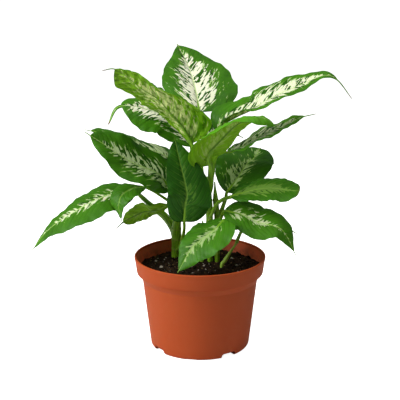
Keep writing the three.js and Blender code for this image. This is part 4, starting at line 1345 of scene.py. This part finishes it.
class PLANT_OT_leaves(PieceOperator, bpy.types.Operator):
    """Makes each leaf: quilted blade, midrib and grooved petiole, in one piece"""
    bl_idname = "plant.leaves"
    bl_label = "Leaves"

    def execute(self, context):
        plant = context.scene.dieffenbachia
        materials = leaf_materials(plant.leaves, plant.stems)
        for seed, (name, own) in enumerate(LEAVES.items()):
            leaf = {**LEAF_DEFAULTS, **own}
            points, faces, slots, vein, span = make_blade(leaf, seed, plant.leaves)
            stalk, stalk_faces, stem = make_petiole(leaf)
            first = len(points)
            faces += [tuple(first + corner for corner in face) for face in stalk_faces]
            slots += [2] * len(stalk_faces)
            piece = add_mesh(name + "_blade", np.vstack([points, stalk]), faces, materials, slots)
            blank = np.zeros((len(stalk), 3))
            add_vector(piece, "vein", np.vstack([vein, blank]))
            add_vector(piece, "span", np.vstack([span, blank]))
            add_vector(piece, "stem", np.vstack([np.zeros((first, 3)), stem]))
            looks = {"marking": ("zone", "milk", "fleck"), "cast": ("tone", "pale", "dry"),
                     "extent": ("start", "end", "jag")}
            for layer, keys in looks.items():
                add_vector(piece, layer, np.tile([leaf[key] for key in keys], (first + len(stalk), 1)))
            settle(piece, "leaf", name)
        return {"FINISHED"}


def add_light(name, aim, place, size, power, glossy=True):
    """A soft square light that points at a place and isn't seen itself, nor in reflections if not glossy."""
    light = bpy.data.lights.new(name, "AREA")
    light.shape = "SQUARE"
    light.size = size
    light.energy = power
    lamp = bpy.data.objects.new(name, light)
    lamp.location = place
    lamp.rotation_euler = (Vector(aim) - Vector(place)).to_track_quat("-Z", "Y").to_euler()
    lamp.visible_camera = False
    lamp.visible_glossy = glossy
    bpy.context.scene.collection.objects.link(lamp)


class PLANT_OT_stage(PieceOperator, bpy.types.Operator):
    """Sets the floor, the soft lights and the camera"""
    bl_idname = "plant.stage"
    bl_label = "Stage"

    def execute(self, context):
        settings = context.scene.dieffenbachia.stage
        points = [(0, 0, 0)] + ring(settings.floor_radius / MM, FLOOR_SIDES)
        floor = add_mesh("floor", points, fan(0, 1, FLOOR_SIDES), [floor_material(settings.floor_colour)])
        for name, light in LIGHTS.items():
            add_light(name, (0, 0, settings.target_height), **light)
        world = bpy.data.worlds.new("Studio")
        world.use_nodes = True
        nodes = Nodes(world.node_tree)
        strength = nodes.camera_ray() * (1 - WORLD_STRENGTH) + WORLD_STRENGTH
        sky = nodes.value(0, "ShaderNodeBackground", {"Color": (1, 1, 1, 1), "Strength": strength})
        nodes.put("ShaderNodeOutputWorld", {"Surface": sky})
        context.scene.world = world
        context.scene.view_settings.view_transform = "Standard"
        camera = bpy.data.cameras.new("Camera")
        camera.sensor_width = SENSOR_WIDTH
        camera.lens = settings.lens
        view = bpy.data.objects.new("Camera", camera)
        level = settings.distance * math.cos(settings.elevation)
        view.location = (0, -level, settings.target_height + settings.distance * math.sin(settings.elevation))
        view.rotation_euler = (math.pi / 2 - settings.elevation, 0, 0)
        context.scene.collection.objects.link(view)
        context.scene.camera = view
        return {"FINISHED"}


class PLANT_PT_panel(bpy.types.Panel):
    """Lists the plant's settings and steps"""
    bl_idname = "PLANT_PT_panel"
    bl_label = "Potted dieffenbachia"
    bl_space_type = "VIEW_3D"
    bl_region_type = "UI"
    bl_category = "Dieffenbachia"

    def draw(self, context):
        for operator, settings in STEPS.items():
            box = self.layout.box()
            box.operator("plant." + operator)
            group = getattr(context.scene.dieffenbachia, settings)
            for name in group.__annotations__:
                box.prop(group, name)


# The operators in the order that they run, each with its settings
STEPS = {"pot": "pot", "soil": "soil", "canes": "stems", "leaves": "leaves", "stage": "stage"}
CLASSES = (
    PotSettings, SoilSettings, StemSettings, LeafSettings, StageSettings, PlantSettings,
    PLANT_OT_pot, PLANT_OT_soil, PLANT_OT_canes, PLANT_OT_leaves, PLANT_OT_stage, PLANT_PT_panel,
)


def register():
    for entry in CLASSES:
        bpy.utils.register_class(entry)
    bpy.types.Scene.dieffenbachia = PointerProperty(type=PlantSettings)


def unregister():
    del bpy.types.Scene.dieffenbachia
    for entry in reversed(CLASSES):
        bpy.utils.unregister_class(entry)


def main():
    register()
    for operator in STEPS:
        getattr(bpy.ops.plant, operator)()


if __name__ == "__main__":
    main()
